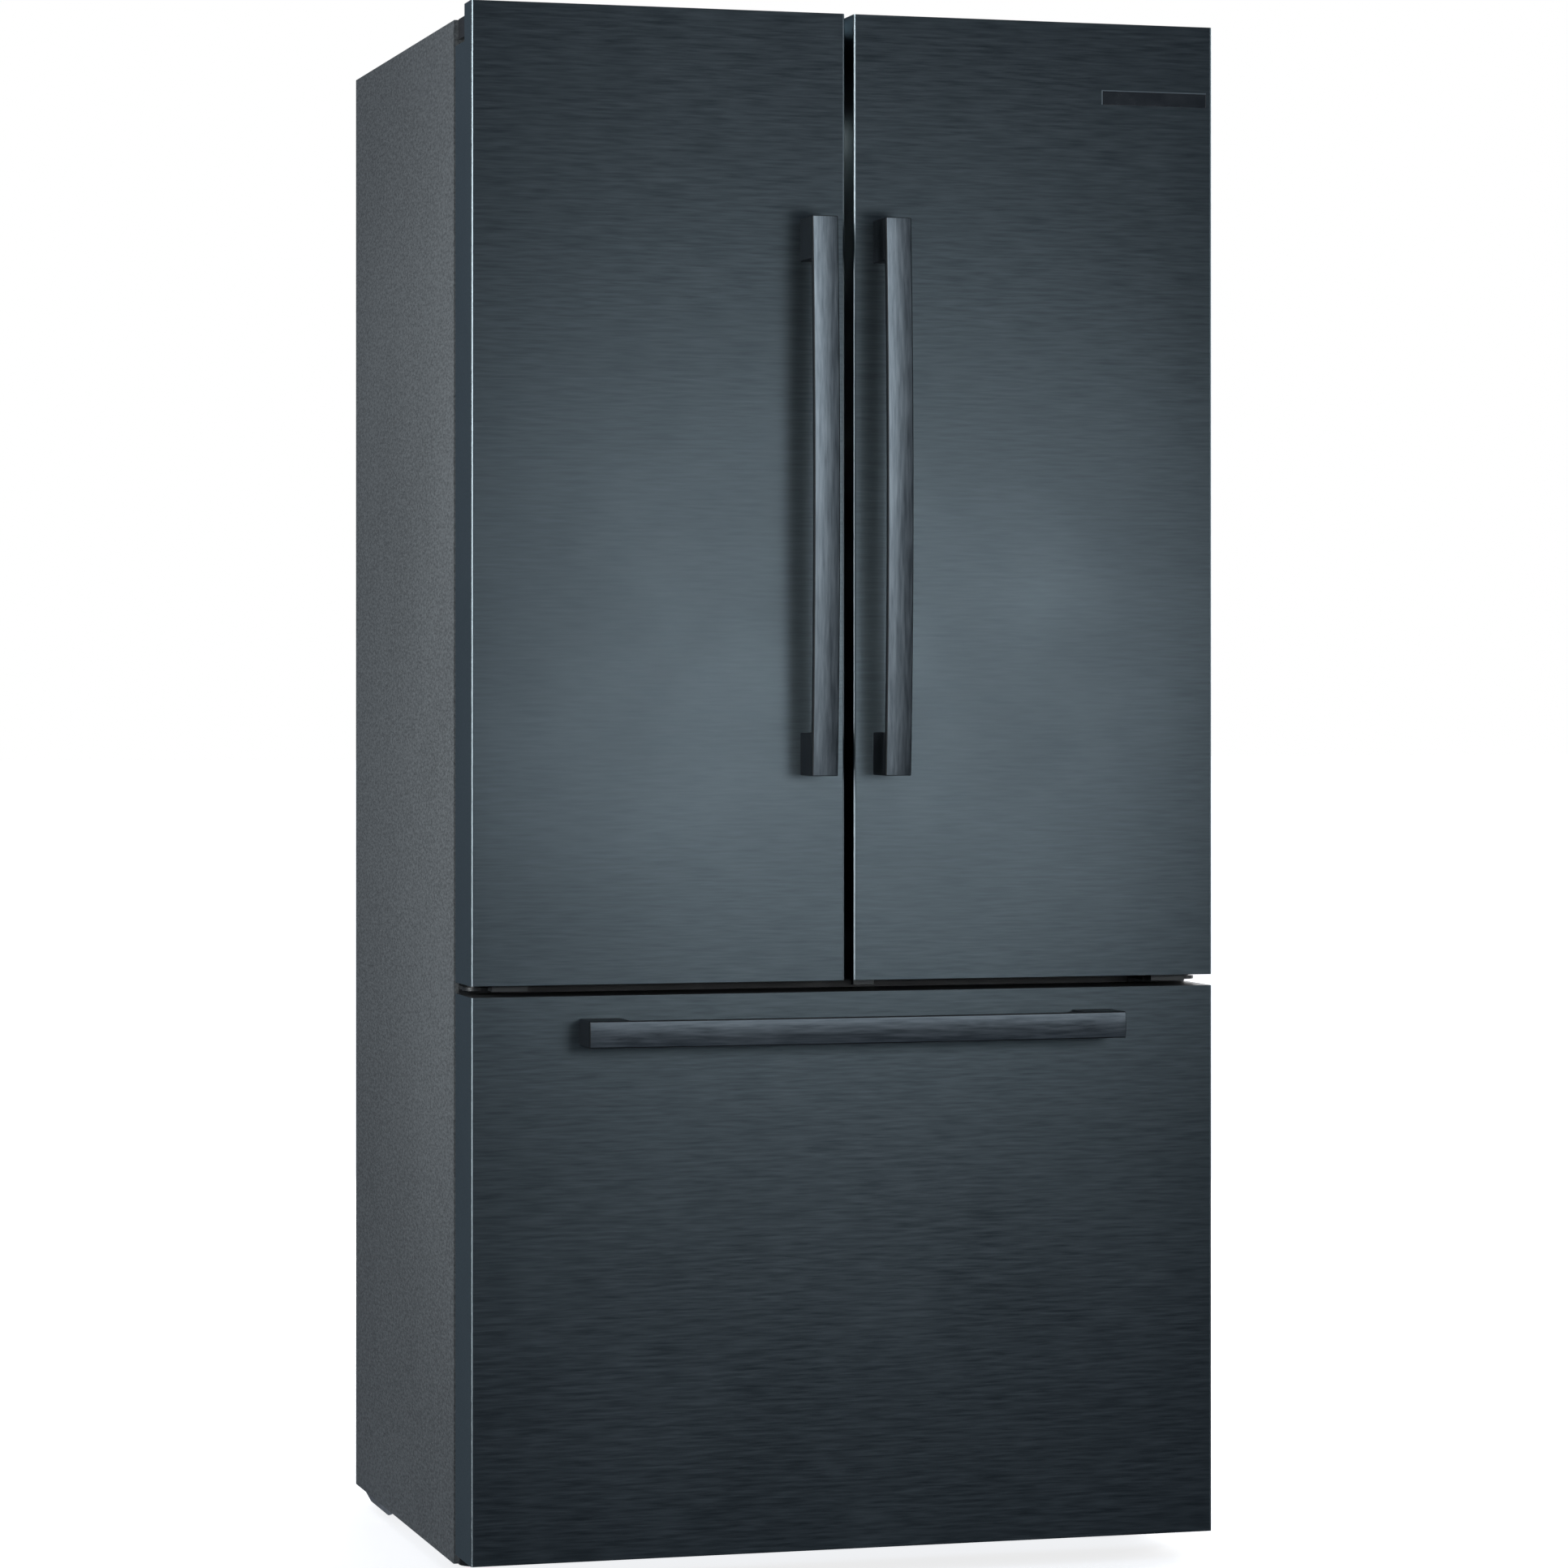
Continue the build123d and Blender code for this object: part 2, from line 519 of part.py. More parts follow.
def compressor():
    """Welded pot on a foot plate, with four rubber feet and the start relay box."""
    x, depth, low = COMPRESSOR_X, COMPRESSOR_DEPTH, CABINET_BOTTOM + SHEET + BASE_SHEET
    profile = [(0, 38), (52, 38), (76, 56), (76, 118), (66, 152), (40, 172), (0, 176)]
    with BuildPart() as pot:
        with BuildSketch(Plane(origin=(x, y_at(depth), 0), x_dir=(1, 0, 0), z_dir=(0, -1, 0))):
            with BuildLine():
                Polyline(profile, close=True)
            make_face()
        revolve(axis=Axis((x, y_at(depth), 0), (0, 0, 1)))
        crossways((x - 102, x - 60), depth, 105, 24)
        block((x - 100, x + 100), (depth - 52, depth + 52), (low + RUBBER_FOOT_HIGH, 38))
    feet = []
    for side in (-1, 1):
        for end in (-1, 1):
            with BuildPart() as foot:
                place = (x + side * RUBBER_FOOT_X, depth + end * RUBBER_FOOT_DEPTH)
                upright(*place, (low, low + RUBBER_FOOT_HIGH), RUBBER_FOOT_R)
            feet.append(foot)
    save_group([pot, *feet], "compressor")


LOUVRE = (124.0, 8.0)
LOUVRE_PITCH, LOUVRE_COUNT = (150.0, 18.0), (5, 7)


def rear_grille():
    """Louvred cover of the compressor space, with a corner left open for the mains inlet."""
    inner = PANEL_OUTER - LINER
    with BuildPart() as grille:
        block((-440, 440), (inner, PANEL_OUTER), (38, STEP_HIGH - 2))
        block((-441, -360), (inner - 1, CABINET_REAR), (190, STEP_HIGH), Mode.SUBTRACT)
        with BuildSketch(front_plane(inner)):
            with Locations((45, 120)):
                with GridLocations(*LOUVRE_PITCH, *LOUVRE_COUNT):
                    SlotOverall(*LOUVRE)
        extrude(amount=-LINER, mode=Mode.SUBTRACT)
    save(grille, "rear_grille")


INLET_X, INLET_Z = -400.0, 222.0


def mains_inlet():
    """Three-blade appliance inlet, recessed in a plastic bezel, facing the rear."""
    x, z = INLET_X, INLET_Z
    inner = PANEL_OUTER - LINER
    with BuildPart() as inlet:
        block((x - 32, x + 32), (inner, PANEL_OUTER), (z - 24, z + 26))
        block((x - 20, x + 20), (inner - 26, inner), (z - 16, z + 16))
        block((x - 13, x + 13), (inner - 20, CABINET_REAR), (z - 9, z + 9), Mode.SUBTRACT)
        for dx, dz in ((-7, -2), (0, 3), (7, -2)):
            block((x + dx - 1, x + dx + 1), (inner - 21, inner - 5), (z + dz - 2, z + dz + 2))
    save(inlet, "mains_inlet")


# ================================================================================================
# Hinges of the upper doors
# ================================================================================================
ARM_LOW, ARM_HIGH, ARM_EYE_R = 1803.0, 1807.0, 11.0
HINGE_PLATE = 3.0
TOP_PIN_LOW, MIDDLE_PIN_HIGH = 1766.0, 716.0


def top_hinge(side):
    """Bracket on the cabinet top that drops in front of the cabinet and holds a downward pin."""
    pin = side * PIN_X
    top = (CABINET_TOP, CABINET_TOP + HINGE_PLATE)
    with BuildPart() as bracket:
        block((side * 390, side * 430), (84, 180), top)
        block((side * 360, side * 430), (101, 180), top)
        block((side * 400, side * 430), (84, DOOR_THICK), (ARM_LOW, top[1]))
        block((side * 400, side * 444), (PIN_DEPTH, DOOR_THICK), (ARM_LOW, ARM_HIGH))
        upright(pin, PIN_DEPTH, (ARM_LOW, ARM_HIGH), ARM_EYE_R)
        upright(pin, PIN_DEPTH, (TOP_PIN_LOW, ARM_HIGH), PIN_R)
    return bracket


def middle_hinge(side):
    """Bracket on the crossmember that holds an upward pin below the door."""
    pin = side * PIN_X
    plate = (689.5, 693.5)
    with BuildPart() as bracket:
        block((side * 380, side * 447), (PIN_DEPTH, 95), plate)
        block((side * 380, side * 433), (42, CABINET_FRONT), plate)
        upright(pin, PIN_DEPTH, plate, 17)
        back = (CABINET_FRONT - HINGE_PLATE, CABINET_FRONT)
        block((side * 380, side * 447), back, (676, DOOR_BOTTOM - 1))
        upright(pin, PIN_DEPTH, (plate[0], MIDDLE_PIN_HIGH), PIN_R)
        upright(pin, PIN_DEPTH, (plate[0], DOOR_BOTTOM - 1), ARM_EYE_R)
    return bracket


def hinge_cover(side):
    """Plastic cover over a top hinge: a round nose in the door's notch and a box on the top."""
    pin = side * PIN_X
    with BuildPart() as cover:
        upright(pin, PIN_DEPTH, (1796, 1820.5), 18)
        block((side * 395, side * 447), (PIN_DEPTH, CABINET_FRONT), (1796, CABINET_TOP))
        block((side * 385, side * 432), (80, 97), (CABINET_TOP, 1829.5))
        block((side * 352, side * 432), (97, 190), (CABINET_TOP, 1829.5))
        upright(pin, PIN_DEPTH, (1795, 1818.5), 16, Mode.SUBTRACT)
        block((side * 397, side * 445), (PIN_DEPTH, 97), (1795, 1817), Mode.SUBTRACT)
        block((side * 387, side * 430), (82, 99), (CABINET_TOP - 3, 1827.5), Mode.SUBTRACT)
        block((side * 354, side * 430), (99, 188), (CABINET_TOP - 1, 1827.5), Mode.SUBTRACT)
    return cover


def hinges():
    save_group([make(side) for make in (top_hinge, middle_hinge) for side in (-1, 1)], "hinge_brackets")
    save_group([hinge_cover(side) for side in (-1, 1)], "hinge_covers")


# ================================================================================================
# Door pieces, shared by both upper doors and the drawer front
# ================================================================================================
def slab(x, depth, z, radius, mode=Mode.ADD):
    """An upright slab whose two front corners are rounded, as a folded sheet's are."""
    with BuildSketch(Plane.XY.offset(z[0])) as outline:
        with Locations(((x[0] + x[1]) / 2, y_at((depth[0] + depth[1]) / 2))):
            Rectangle(x[1] - x[0], depth[1] - depth[0])
        fillet(outline.vertices().group_by(Axis.Y)[0], radius)
    extrude(outline.sketch, amount=z[1] - z[0], mode=mode)


def notch(side, mode=Mode.SUBTRACT):
    """Space for the top hinge at a door's outer top corner."""
    x = (side * NOTCH_X, side * (HALF + 1))
    block(x, (NOTCH_DEPTH, DOOR_THICK + 1), (NOTCH_LOW, DOOR_TOP + 1), mode)


def pin_block(side, z, mode=Mode.ADD):
    """Solid corner of an end cap, which holds the bore for a hinge pin."""
    x = (side * (HALF - SHEET), side * (NOTCH_X - 3))
    block(x, (NOTCH_DEPTH - 3, DOOR_THICK), z, mode)


class Door:
    """Limits of one front: an upper door (side -1 or 1) or the drawer front (side 0)."""

    def __init__(self, name, side):
        self.name, self.side = name, side
        self.low, self.high = (DOOR_BOTTOM, DOOR_TOP) if side else (DRAWER_BOTTOM, DRAWER_TOP)
        inner = DOOR_GAP / 2
        self.x = (-HALF, HALF) if not side else tuple(sorted((side * inner, side * HALF)))
        self.core_x = (self.x[0] + SHEET, self.x[1] - SHEET)
        self.core_z = (self.low + CAP, self.high - CAP)


def door_skin(door):
    """Brushed steel sheet folded back along both sides."""
    with BuildPart() as skin:
        slab(door.x, (0, DOOR_THICK), (door.low, door.high), BEND)
        slab(door.core_x, (SHEET, DOOR_THICK + 10), (door.low, door.high), BEND - SHEET, Mode.SUBTRACT)
        if door.side:
            notch(door.side)
    save(skin, f"{door.name}_skin")


def door_caps(door):
    """Plastic end caps; on an upper door each one also holds a hinge bore."""
    side, pin = door.side, door.side * PIN_X
    with BuildPart() as bottom:
        slab(door.core_x, (SHEET, DOOR_THICK), (door.low, door.low + CAP), BEND - SHEET)
        if side:
            pin_block(side, (door.low, 725))
            upright(pin, PIN_DEPTH, (door.low - 1, 722), PIN_BORE, Mode.SUBTRACT)
            # closing cam that hangs in front of the middle hinge
            block((side * 382, side * 424), (18, 40), (690, door.low))
    with BuildPart() as top:
        slab(door.core_x, (SHEET, DOOR_THICK), (door.high - CAP, door.high), BEND - SHEET)
        if side:
            pin_block(side, (1760, door.high - CAP))
            notch(side)
            upright(pin, PIN_DEPTH, (1762, NOTCH_LOW + 1), PIN_BORE, Mode.SUBTRACT)
    save_group([bottom, top], f"{door.name}_caps")


RIDGE_X = (62.0, 399.0)
RIDGE_Z = (752.0, 1748.0)
RIDGE_WALL, RIDGE_REAR = 14.0, 135.0


def ridge_ring(side, inset, depth, mode=Mode.ADD):
    """Raised ring on the back of a door, between which the bins hang."""
    x0, x1 = RIDGE_X
    wall = RIDGE_WALL - inset
    outer_x = sorted((side * (x0 + inset), side * (x1 - inset)))
    inner_x = sorted((side * (x0 + wall), side * (x1 - wall)))
    with BuildSketch(front_plane(depth[0])) as outline:
        rectangle(outer_x, (RIDGE_Z[0] + inset, RIDGE_Z[1] - inset))
        rectangle(inner_x, (RIDGE_Z[0] + wall, RIDGE_Z[1] - wall), Mode.SUBTRACT)
    extrude(outline.sketch, amount=depth[0] - depth[1], mode=mode)


def door_liner(door):
    """Moulded inner face: a flat panel with the bin ring, or with one raised field on the drawer."""
    side = door.side
    with BuildPart() as liner:
        block(door.core_x, (DOOR_THICK - LINER, DOOR_THICK), door.core_z)
        if side:
            ridge_ring(side, 0, (DOOR_THICK, RIDGE_REAR))
            ridge_ring(side, LINER, (DOOR_THICK - LINER, RIDGE_REAR - LINER), Mode.SUBTRACT)
            pin_block(side, (1760, DOOR_TOP), Mode.SUBTRACT)
            pin_block(side, (DOOR_BOTTOM, 725), Mode.SUBTRACT)
            for level in BIN_LEVELS:
                for x in (RIDGE_X[0] + RIDGE_WALL, RIDGE_X[1] - RIDGE_WALL - 5):
                    block((side * x, side * (x + 5)), (96, 128), (level - 12, level - 2))
        else:
            block((-396, 396), (DOOR_THICK, DOOR_THICK + 13), (84, 632))
            block((-394, 394), (DOOR_THICK - LINER, DOOR_THICK + 11), (86, 630), Mode.SUBTRACT)
        if side < 0:
            for z in ((FLAP_LOW - 6, FLAP_LOW - 0.5), (FLAP_HIGH + 0.5, FLAP_HIGH + 6)):
                block((FLAP_X - 6, FLAP_X + 6), (DOOR_THICK, FLAP_DEPTH + 6), z)
                upright(FLAP_X, FLAP_DEPTH, (z[0] - 1, z[1] + 1), FLAP_BORE, Mode.SUBTRACT)
    save(liner, f"{door.name}_liner")


def door_foam(door):
    side = door.side
    with BuildPart() as foam:
        slab(door.core_x, (SHEET, DOOR_THICK - LINER), door.core_z, BEND - SHEET)
        if side:
            ridge_ring(side, LINER, (DOOR_THICK - LINER, RIDGE_REAR - LINER))
            pin_block(side, (1760, DOOR_TOP), Mode.SUBTRACT)
            pin_block(side, (DOOR_BOTTOM, 725), Mode.SUBTRACT)
        else:
            block((-394, 394), (DOOR_THICK - LINER, DOOR_THICK + 11), (86, 630))
    save(foam, f"{door.name}_foam")


def door_gasket(door):
    """Magnetic gasket: a flat base strip with a narrower bulb all the way round."""
    low, high = (708, 1784) if door.side else (46, 670)
    x = (-440, 440) if not door.side else tuple(sorted((door.side * 12, door.side * 440)))
    strip_front, bulb_front, bulb_rear = DOOR_THICK, DOOR_THICK + 3, CABINET_FRONT - 0.3
    width, bulb_inset = 18, 3
    with BuildPart() as ring:
        for inset, front, rear in ((0, strip_front, bulb_front), (bulb_inset, bulb_front, bulb_rear)):
            hole = width - inset
            with BuildSketch(front_plane(front)):
                rectangle((x[0] + inset, x[1] - inset), (low + inset, high - inset))
                rectangle((x[0] + hole, x[1] - hole), (low + hole, high - hole), Mode.SUBTRACT)
            extrude(amount=front - rear)
    save(ring, f"{door.name}_gasket")


def handle(name, middle):
    """Bowed bar with a crowned face, on two end mounts. In the plane given, local X runs across
    the bar, local Y runs backwards, and local Z runs along the bar from its middle."""
    axis = Axis(middle.from_local_coords((0, BAR_RADIUS - BAR_BACK, 0)), middle.x_dir)
    half, sweep_angle, shoulder = BAR_WIDTH / 2, 3.7, -BAR_BACK - BAR_EDGE
    with BuildPart(middle) as bar:
        with BuildSketch(middle):
            with BuildLine():
                Line((-half, -BAR_BACK), (half, -BAR_BACK))
                Line((half, -BAR_BACK), (half, shoulder))
                ThreePointArc((half, shoulder), (0, -HANDLE_REACH), (-half, shoulder))
                Line((-half, shoulder), (-half, -BAR_BACK))
            make_face()
        revolve(axis=axis, revolution_arc=sweep_angle)
        mirror(about=middle)
        Box(2 * BAR_WIDTH, 4 * HANDLE_REACH, BAR_LENGTH, mode=Mode.INTERSECT)
    save(bar, f"{name}_bar")
    mounts = []
    for end in (-1, 1):
        with BuildPart(middle) as mount:
            with Locations((0, -HANDLE_REACH / 2, end * (BAR_LENGTH - MOUNT_LENGTH) / 2)):
                Box(BAR_WIDTH, HANDLE_REACH, MOUNT_LENGTH)
            with Locations(Location((0, BAR_RADIUS - BAR_BACK, 0), (0, 90, 0))):
                Cylinder(BAR_RADIUS, 2 * BAR_WIDTH, mode=Mode.INTERSECT)
        mounts.append(mount)
    save_group(mounts, f"{name}_mounts")


def door_bins(door):
    """Three door bins, each hung on the small lugs of the ring."""
    side, bins = door.side, []
    x = sorted((side * (RIDGE_X[0] + RIDGE_WALL + 1), side * (RIDGE_X[1] - RIDGE_WALL - 1)))
    for level in BIN_LEVELS:
        with BuildPart() as one:
            tub(x, (DOOR_THICK + 1, BIN_REAR), (level, level + BIN_HIGH), BIN_WALL, BIN_WALL, BIN_CORNER)
            rail = (x[0] + BIN_CORNER, x[1] - BIN_CORNER)
            block(rail, (BIN_REAR - 3, BIN_REAR), (level + BIN_HIGH, level + BIN_RAIL_HIGH))
        bins.append(one)
    save_group(bins, f"{door.name}_bins")


PLATE_X, PLATE_Z, PLATE_THICK = (312.7, 444.7), (1733.5, 1751.0), 0.8


def name_plate():
    """Blank plate at the right door's top outer corner."""
    with BuildPart() as plate:
        block(PLATE_X, (-PLATE_THICK, 0), PLATE_Z)
    save(plate, "name_plate")


def flap():
    """Hinged centre bar on the left door, folded back beside the door's ring. Turned forwards by a
    quarter turn, it spans the slot between the two doors and both gaskets close on it."""
    with BuildPart() as bar:
        block((FLAP_X - 18, FLAP_X + 4), (FLAP_DEPTH + 4, FLAP_DEPTH + 72), (FLAP_LOW, FLAP_HIGH))
        fillet(bar.edges().filter_by(Axis.Z), 2)
        upright(FLAP_X, FLAP_DEPTH, (FLAP_LOW, FLAP_HIGH), 4.5)
        block((FLAP_X - 4, FLAP_X + 3), (FLAP_DEPTH, FLAP_DEPTH + 8), (FLAP_LOW, FLAP_HIGH))
        upright(FLAP_X, FLAP_DEPTH, (FLAP_LOW - 5.5, FLAP_HIGH + 5.5), FLAP_PIN_R)
        # guide knob at each end, which a groove in the ceiling and floor steers on the real door
        block((FLAP_X - 12, FLAP_X - 2), (FLAP_DEPTH + 40, FLAP_DEPTH + 52), (FLAP_LOW - 4, FLAP_HIGH + 4))
    save(bar, "flap_bar")


# ================================================================================================
# Freezer drawer
# ================================================================================================
RAIL_Z = 415.0


def rail_pair(name, make):
    rails = []
    for side in (-1, 1):
        with BuildPart() as rail:
            make(side)
        rails.append(rail)
    save_group(rails, name)


def outer_rail(side):
    """Channel screwed to the liner's side, open towards the middle."""
    block((side * 402.5, side * CAVITY_HALF), (110, 545), (RAIL_Z - 20, RAIL_Z + 20))
    for z in (-20, 18):
        block((side * 393, side * 403), (110, 545), (RAIL_Z + z, RAIL_Z + z + 2))


def middle_rail(side):
    """I-shaped rail that runs inside the outer and round the inner rail."""
    block((side * 386, side * 388), (112, 540), (RAIL_Z - 16, RAIL_Z + 16))
    for z in (-16, 14):
        block((side * 376, side * 400), (112, 540), (RAIL_Z + z, RAIL_Z + z + 2))


def inner_rail(side):
    """Channel on the drawer, with a front bracket screwed to the drawer's inner face."""
    block((side * 372, side * 374), (100, 520), (RAIL_Z - 12, RAIL_Z + 12))
    for z in (-12, 10):
        block((side * 372, side * 384), (104, 520), (RAIL_Z + z, RAIL_Z + z + 2))
    block((side * 366, side * 374), (100, 103), (RAIL_Z - 40, RAIL_Z + 12))


BASKET_HALF, BASKET_DEPTH, BASKET_Z, BASKET_WALL = 360.0, (106.0, 424.0), (84.0, 430.0), 3.0
WING_HALF, WING_DEPTH = 375.0, (125.0, 405.0)
TRAY_HALF, TRAY_DEPTH, TRAY_Z = 366.0, (110.0, 350.0), (431.0, 515.0)


def freezer_basket():
    """Deep bin carried between the inner rails, short enough to clear the compressor step."""
    wing_z = (BASKET_Z[1] - BASKET_WALL, BASKET_Z[1])
    with BuildPart() as basket:
        tub((-BASKET_HALF, BASKET_HALF), BASKET_DEPTH, BASKET_Z, BASKET_WALL, BASKET_WALL, 16)
        for side in (-1, 1):
            block((side * (BASKET_HALF - 1), side * WING_HALF), WING_DEPTH, wing_z)
    save(basket, "freezer_basket")


def freezer_tray():
    """Shallow tray that slides along the top of the basket."""
    with BuildPart() as tray:
        tub((-TRAY_HALF, TRAY_HALF), TRAY_DEPTH, TRAY_Z, BIN_WALL, BIN_WALL, 14)
        # finger lip in the middle of the front
        block((-60, 60), (100.5, TRAY_DEPTH[0] + 1), (496, 500))
    save(tray, "freezer_tray")


# ================================================================================================
# Rolling and levelling pieces, screws
# ================================================================================================
def roller(side):
    x = (side * (ROLLER_X - ROLLER_WIDTH / 2), side * (ROLLER_X + ROLLER_WIDTH / 2))
    with BuildPart() as wheel:
        crossways(x, ROLLER_DEPTH, ROLLER_R, ROLLER_R)
        chamfer(wheel.edges().filter_by(GeomType.CIRCLE), 1.5)
        crossways(x, ROLLER_DEPTH, ROLLER_R, ROLLER_BORE, Mode.SUBTRACT)
    save(wheel, f"{'left' if side < 0 else 'right'}_roller")


def levelling_foot(side):
    """Round pad on a threaded stem that turns in the base pan's boss."""
    x = side * FOOT_X
    with BuildPart() as foot:
        upright(x, FOOT_DEPTH, (0, FOOT_PAD_HIGH), FOOT_PAD_R)
        chamfer(foot.edges().filter_by(GeomType.CIRCLE).group_by(Axis.Z)[-1], FOOT_PAD_HIGH / 2)
        upright(x, FOOT_DEPTH, (FOOT_PAD_HIGH - 1, STEM_TOP), STEM_R)
    save(foot, f"{'left' if side < 0 else 'right'}_foot")


SCREW_HEAD_R, CROSS_SLOT_R, CROSS_SLOT_WIDE = 4.5, 3.0, 1.0


def screws():
    """Pan-head screws of the rear panel and the rear grille."""
    places = [(x, z) for x in (-425, 425) for z in (300, 700, 1100, 1500, 1790)]
    places += [(x, z) for x in (-150, 150) for z in (275, 1805)]
    places += [(x, 52) for x in (-425, -140, 140, 425)] + [(425, 240), (-330, 240)]
    heads = []
    for x, z in places:
        with BuildPart() as head:
            endways(x, (PANEL_OUTER, CABINET_REAR), z, SCREW_HEAD_R)
            chamfer(head.faces().sort_by(Axis.Y)[-1].edges(), 0.6)
            reach, half = CROSS_SLOT_R, CROSS_SLOT_WIDE / 2
            cut = (CABINET_REAR - 1, CABINET_REAR + 1)
            block((x - reach, x + reach), cut, (z - half, z + half), Mode.SUBTRACT)
            block((x - half, x + half), cut, (z - reach, z + reach), Mode.SUBTRACT)
        heads.append(head)
    save_group(heads, "screws")


# ================================================================================================
# The whole refrigerator
# ================================================================================================
os.makedirs("parts", exist_ok=True)

cabinet_wrap()
back_panel()
base_pan()
compressor_base()
crossmember()
kick_plate()
freezer_liner()
fridge_liner()
insulation_foam()
shelves()
air_duct()
control_console()
evaporator_cover()
fin_block((-250, 250), (575, 628), (320, 490), EVAPORATOR_PITCH, TUBE_ROWS, "evaporator")
fin_block((-370, -150), (525, 655), (40, 205), CONDENSER_PITCH, TUBE_ROWS, "condenser")
compressor()
rear_grille()
mains_inlet()
hinges()

for door in (Door("left_door", -1), Door("right_door", 1), Door("drawer", 0)):
    door_skin(door)
    door_caps(door)
    door_liner(door)
    door_foam(door)
    door_gasket(door)
    if door.side:
        door_bins(door)
        place = Plane((door.side * DOOR_BAR_X, FRONT, DOOR_BAR_Z), x_dir=(1, 0, 0), z_dir=(0, 0, 1))
    else:
        place = Plane((0, FRONT, DRAWER_BAR_Z), x_dir=(0, 0, 1), z_dir=(-1, 0, 0))
    handle(door.name.replace("_door", "") + "_handle", place)

name_plate()
flap()
freezer_basket()
freezer_tray()
rail_pair("drawer_outer_rails", outer_rail)
rail_pair("drawer_middle_rails", middle_rail)
rail_pair("drawer_inner_rails", inner_rail)

cold_fan = Plane((0, y_at(572), COLD_FAN_Z), x_dir=(1, 0, 0), z_dir=(0, 1, 0))
fan("evaporator_fan", cold_fan, 17, COLD_FAN_R, 18, 7, 34)
warm_fan = Plane((WARM_FAN_X, y_at(WARM_FAN_DEPTH), WARM_FAN_Z), x_dir=(0, 1, 0), z_dir=(-1, 0, 0))
fan("condenser_fan", warm_fan, 18, WARM_FAN_R, 20, 5, 34)

for side in (-1, 1):
    crisper(side)
    roller(side)
    levelling_foot(side)
screws()
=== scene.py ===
import json
import math

import bmesh
import bpy
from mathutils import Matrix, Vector


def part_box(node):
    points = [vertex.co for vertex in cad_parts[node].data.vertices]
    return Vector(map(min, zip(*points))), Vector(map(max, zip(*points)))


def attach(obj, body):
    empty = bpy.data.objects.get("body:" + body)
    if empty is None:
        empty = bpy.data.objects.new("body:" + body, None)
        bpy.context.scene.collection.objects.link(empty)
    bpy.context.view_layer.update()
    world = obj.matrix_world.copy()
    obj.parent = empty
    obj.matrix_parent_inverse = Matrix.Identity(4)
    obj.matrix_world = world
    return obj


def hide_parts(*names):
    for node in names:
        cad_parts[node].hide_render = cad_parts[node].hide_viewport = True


# French door refrigerator. Metres, +Z up, the doors face -Y.
# Places come from the frame's nodes; "depth" is measured backwards from the front face of the doors.
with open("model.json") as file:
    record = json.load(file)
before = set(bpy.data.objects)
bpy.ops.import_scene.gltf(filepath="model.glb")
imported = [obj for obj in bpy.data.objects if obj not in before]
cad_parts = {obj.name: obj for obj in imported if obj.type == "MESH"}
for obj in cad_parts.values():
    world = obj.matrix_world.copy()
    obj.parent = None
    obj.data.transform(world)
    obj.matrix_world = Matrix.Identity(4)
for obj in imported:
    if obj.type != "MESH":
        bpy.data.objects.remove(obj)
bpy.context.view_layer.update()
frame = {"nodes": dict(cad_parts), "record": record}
nodes = frame["nodes"]
MM = 0.001
FACE_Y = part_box("drawer_skin")[0].y
HANDS = ("left", "right")


def depth(y_back):
    """Y of a plane that lies this many metres behind the front face of the doors."""
    return FACE_Y + y_back


def mm(*lengths):
    """Lengths in millimetres, as metres."""
    return tuple(length * MM for length in lengths)


def deep(front, back):
    """Y span between two depths in millimetres."""
    return depth(front * MM), depth(back * MM)


def placed(name, data):
    """A new object in the scene."""
    item = bpy.data.objects.new(name, data)
    bpy.context.scene.collection.objects.link(item)
    return item


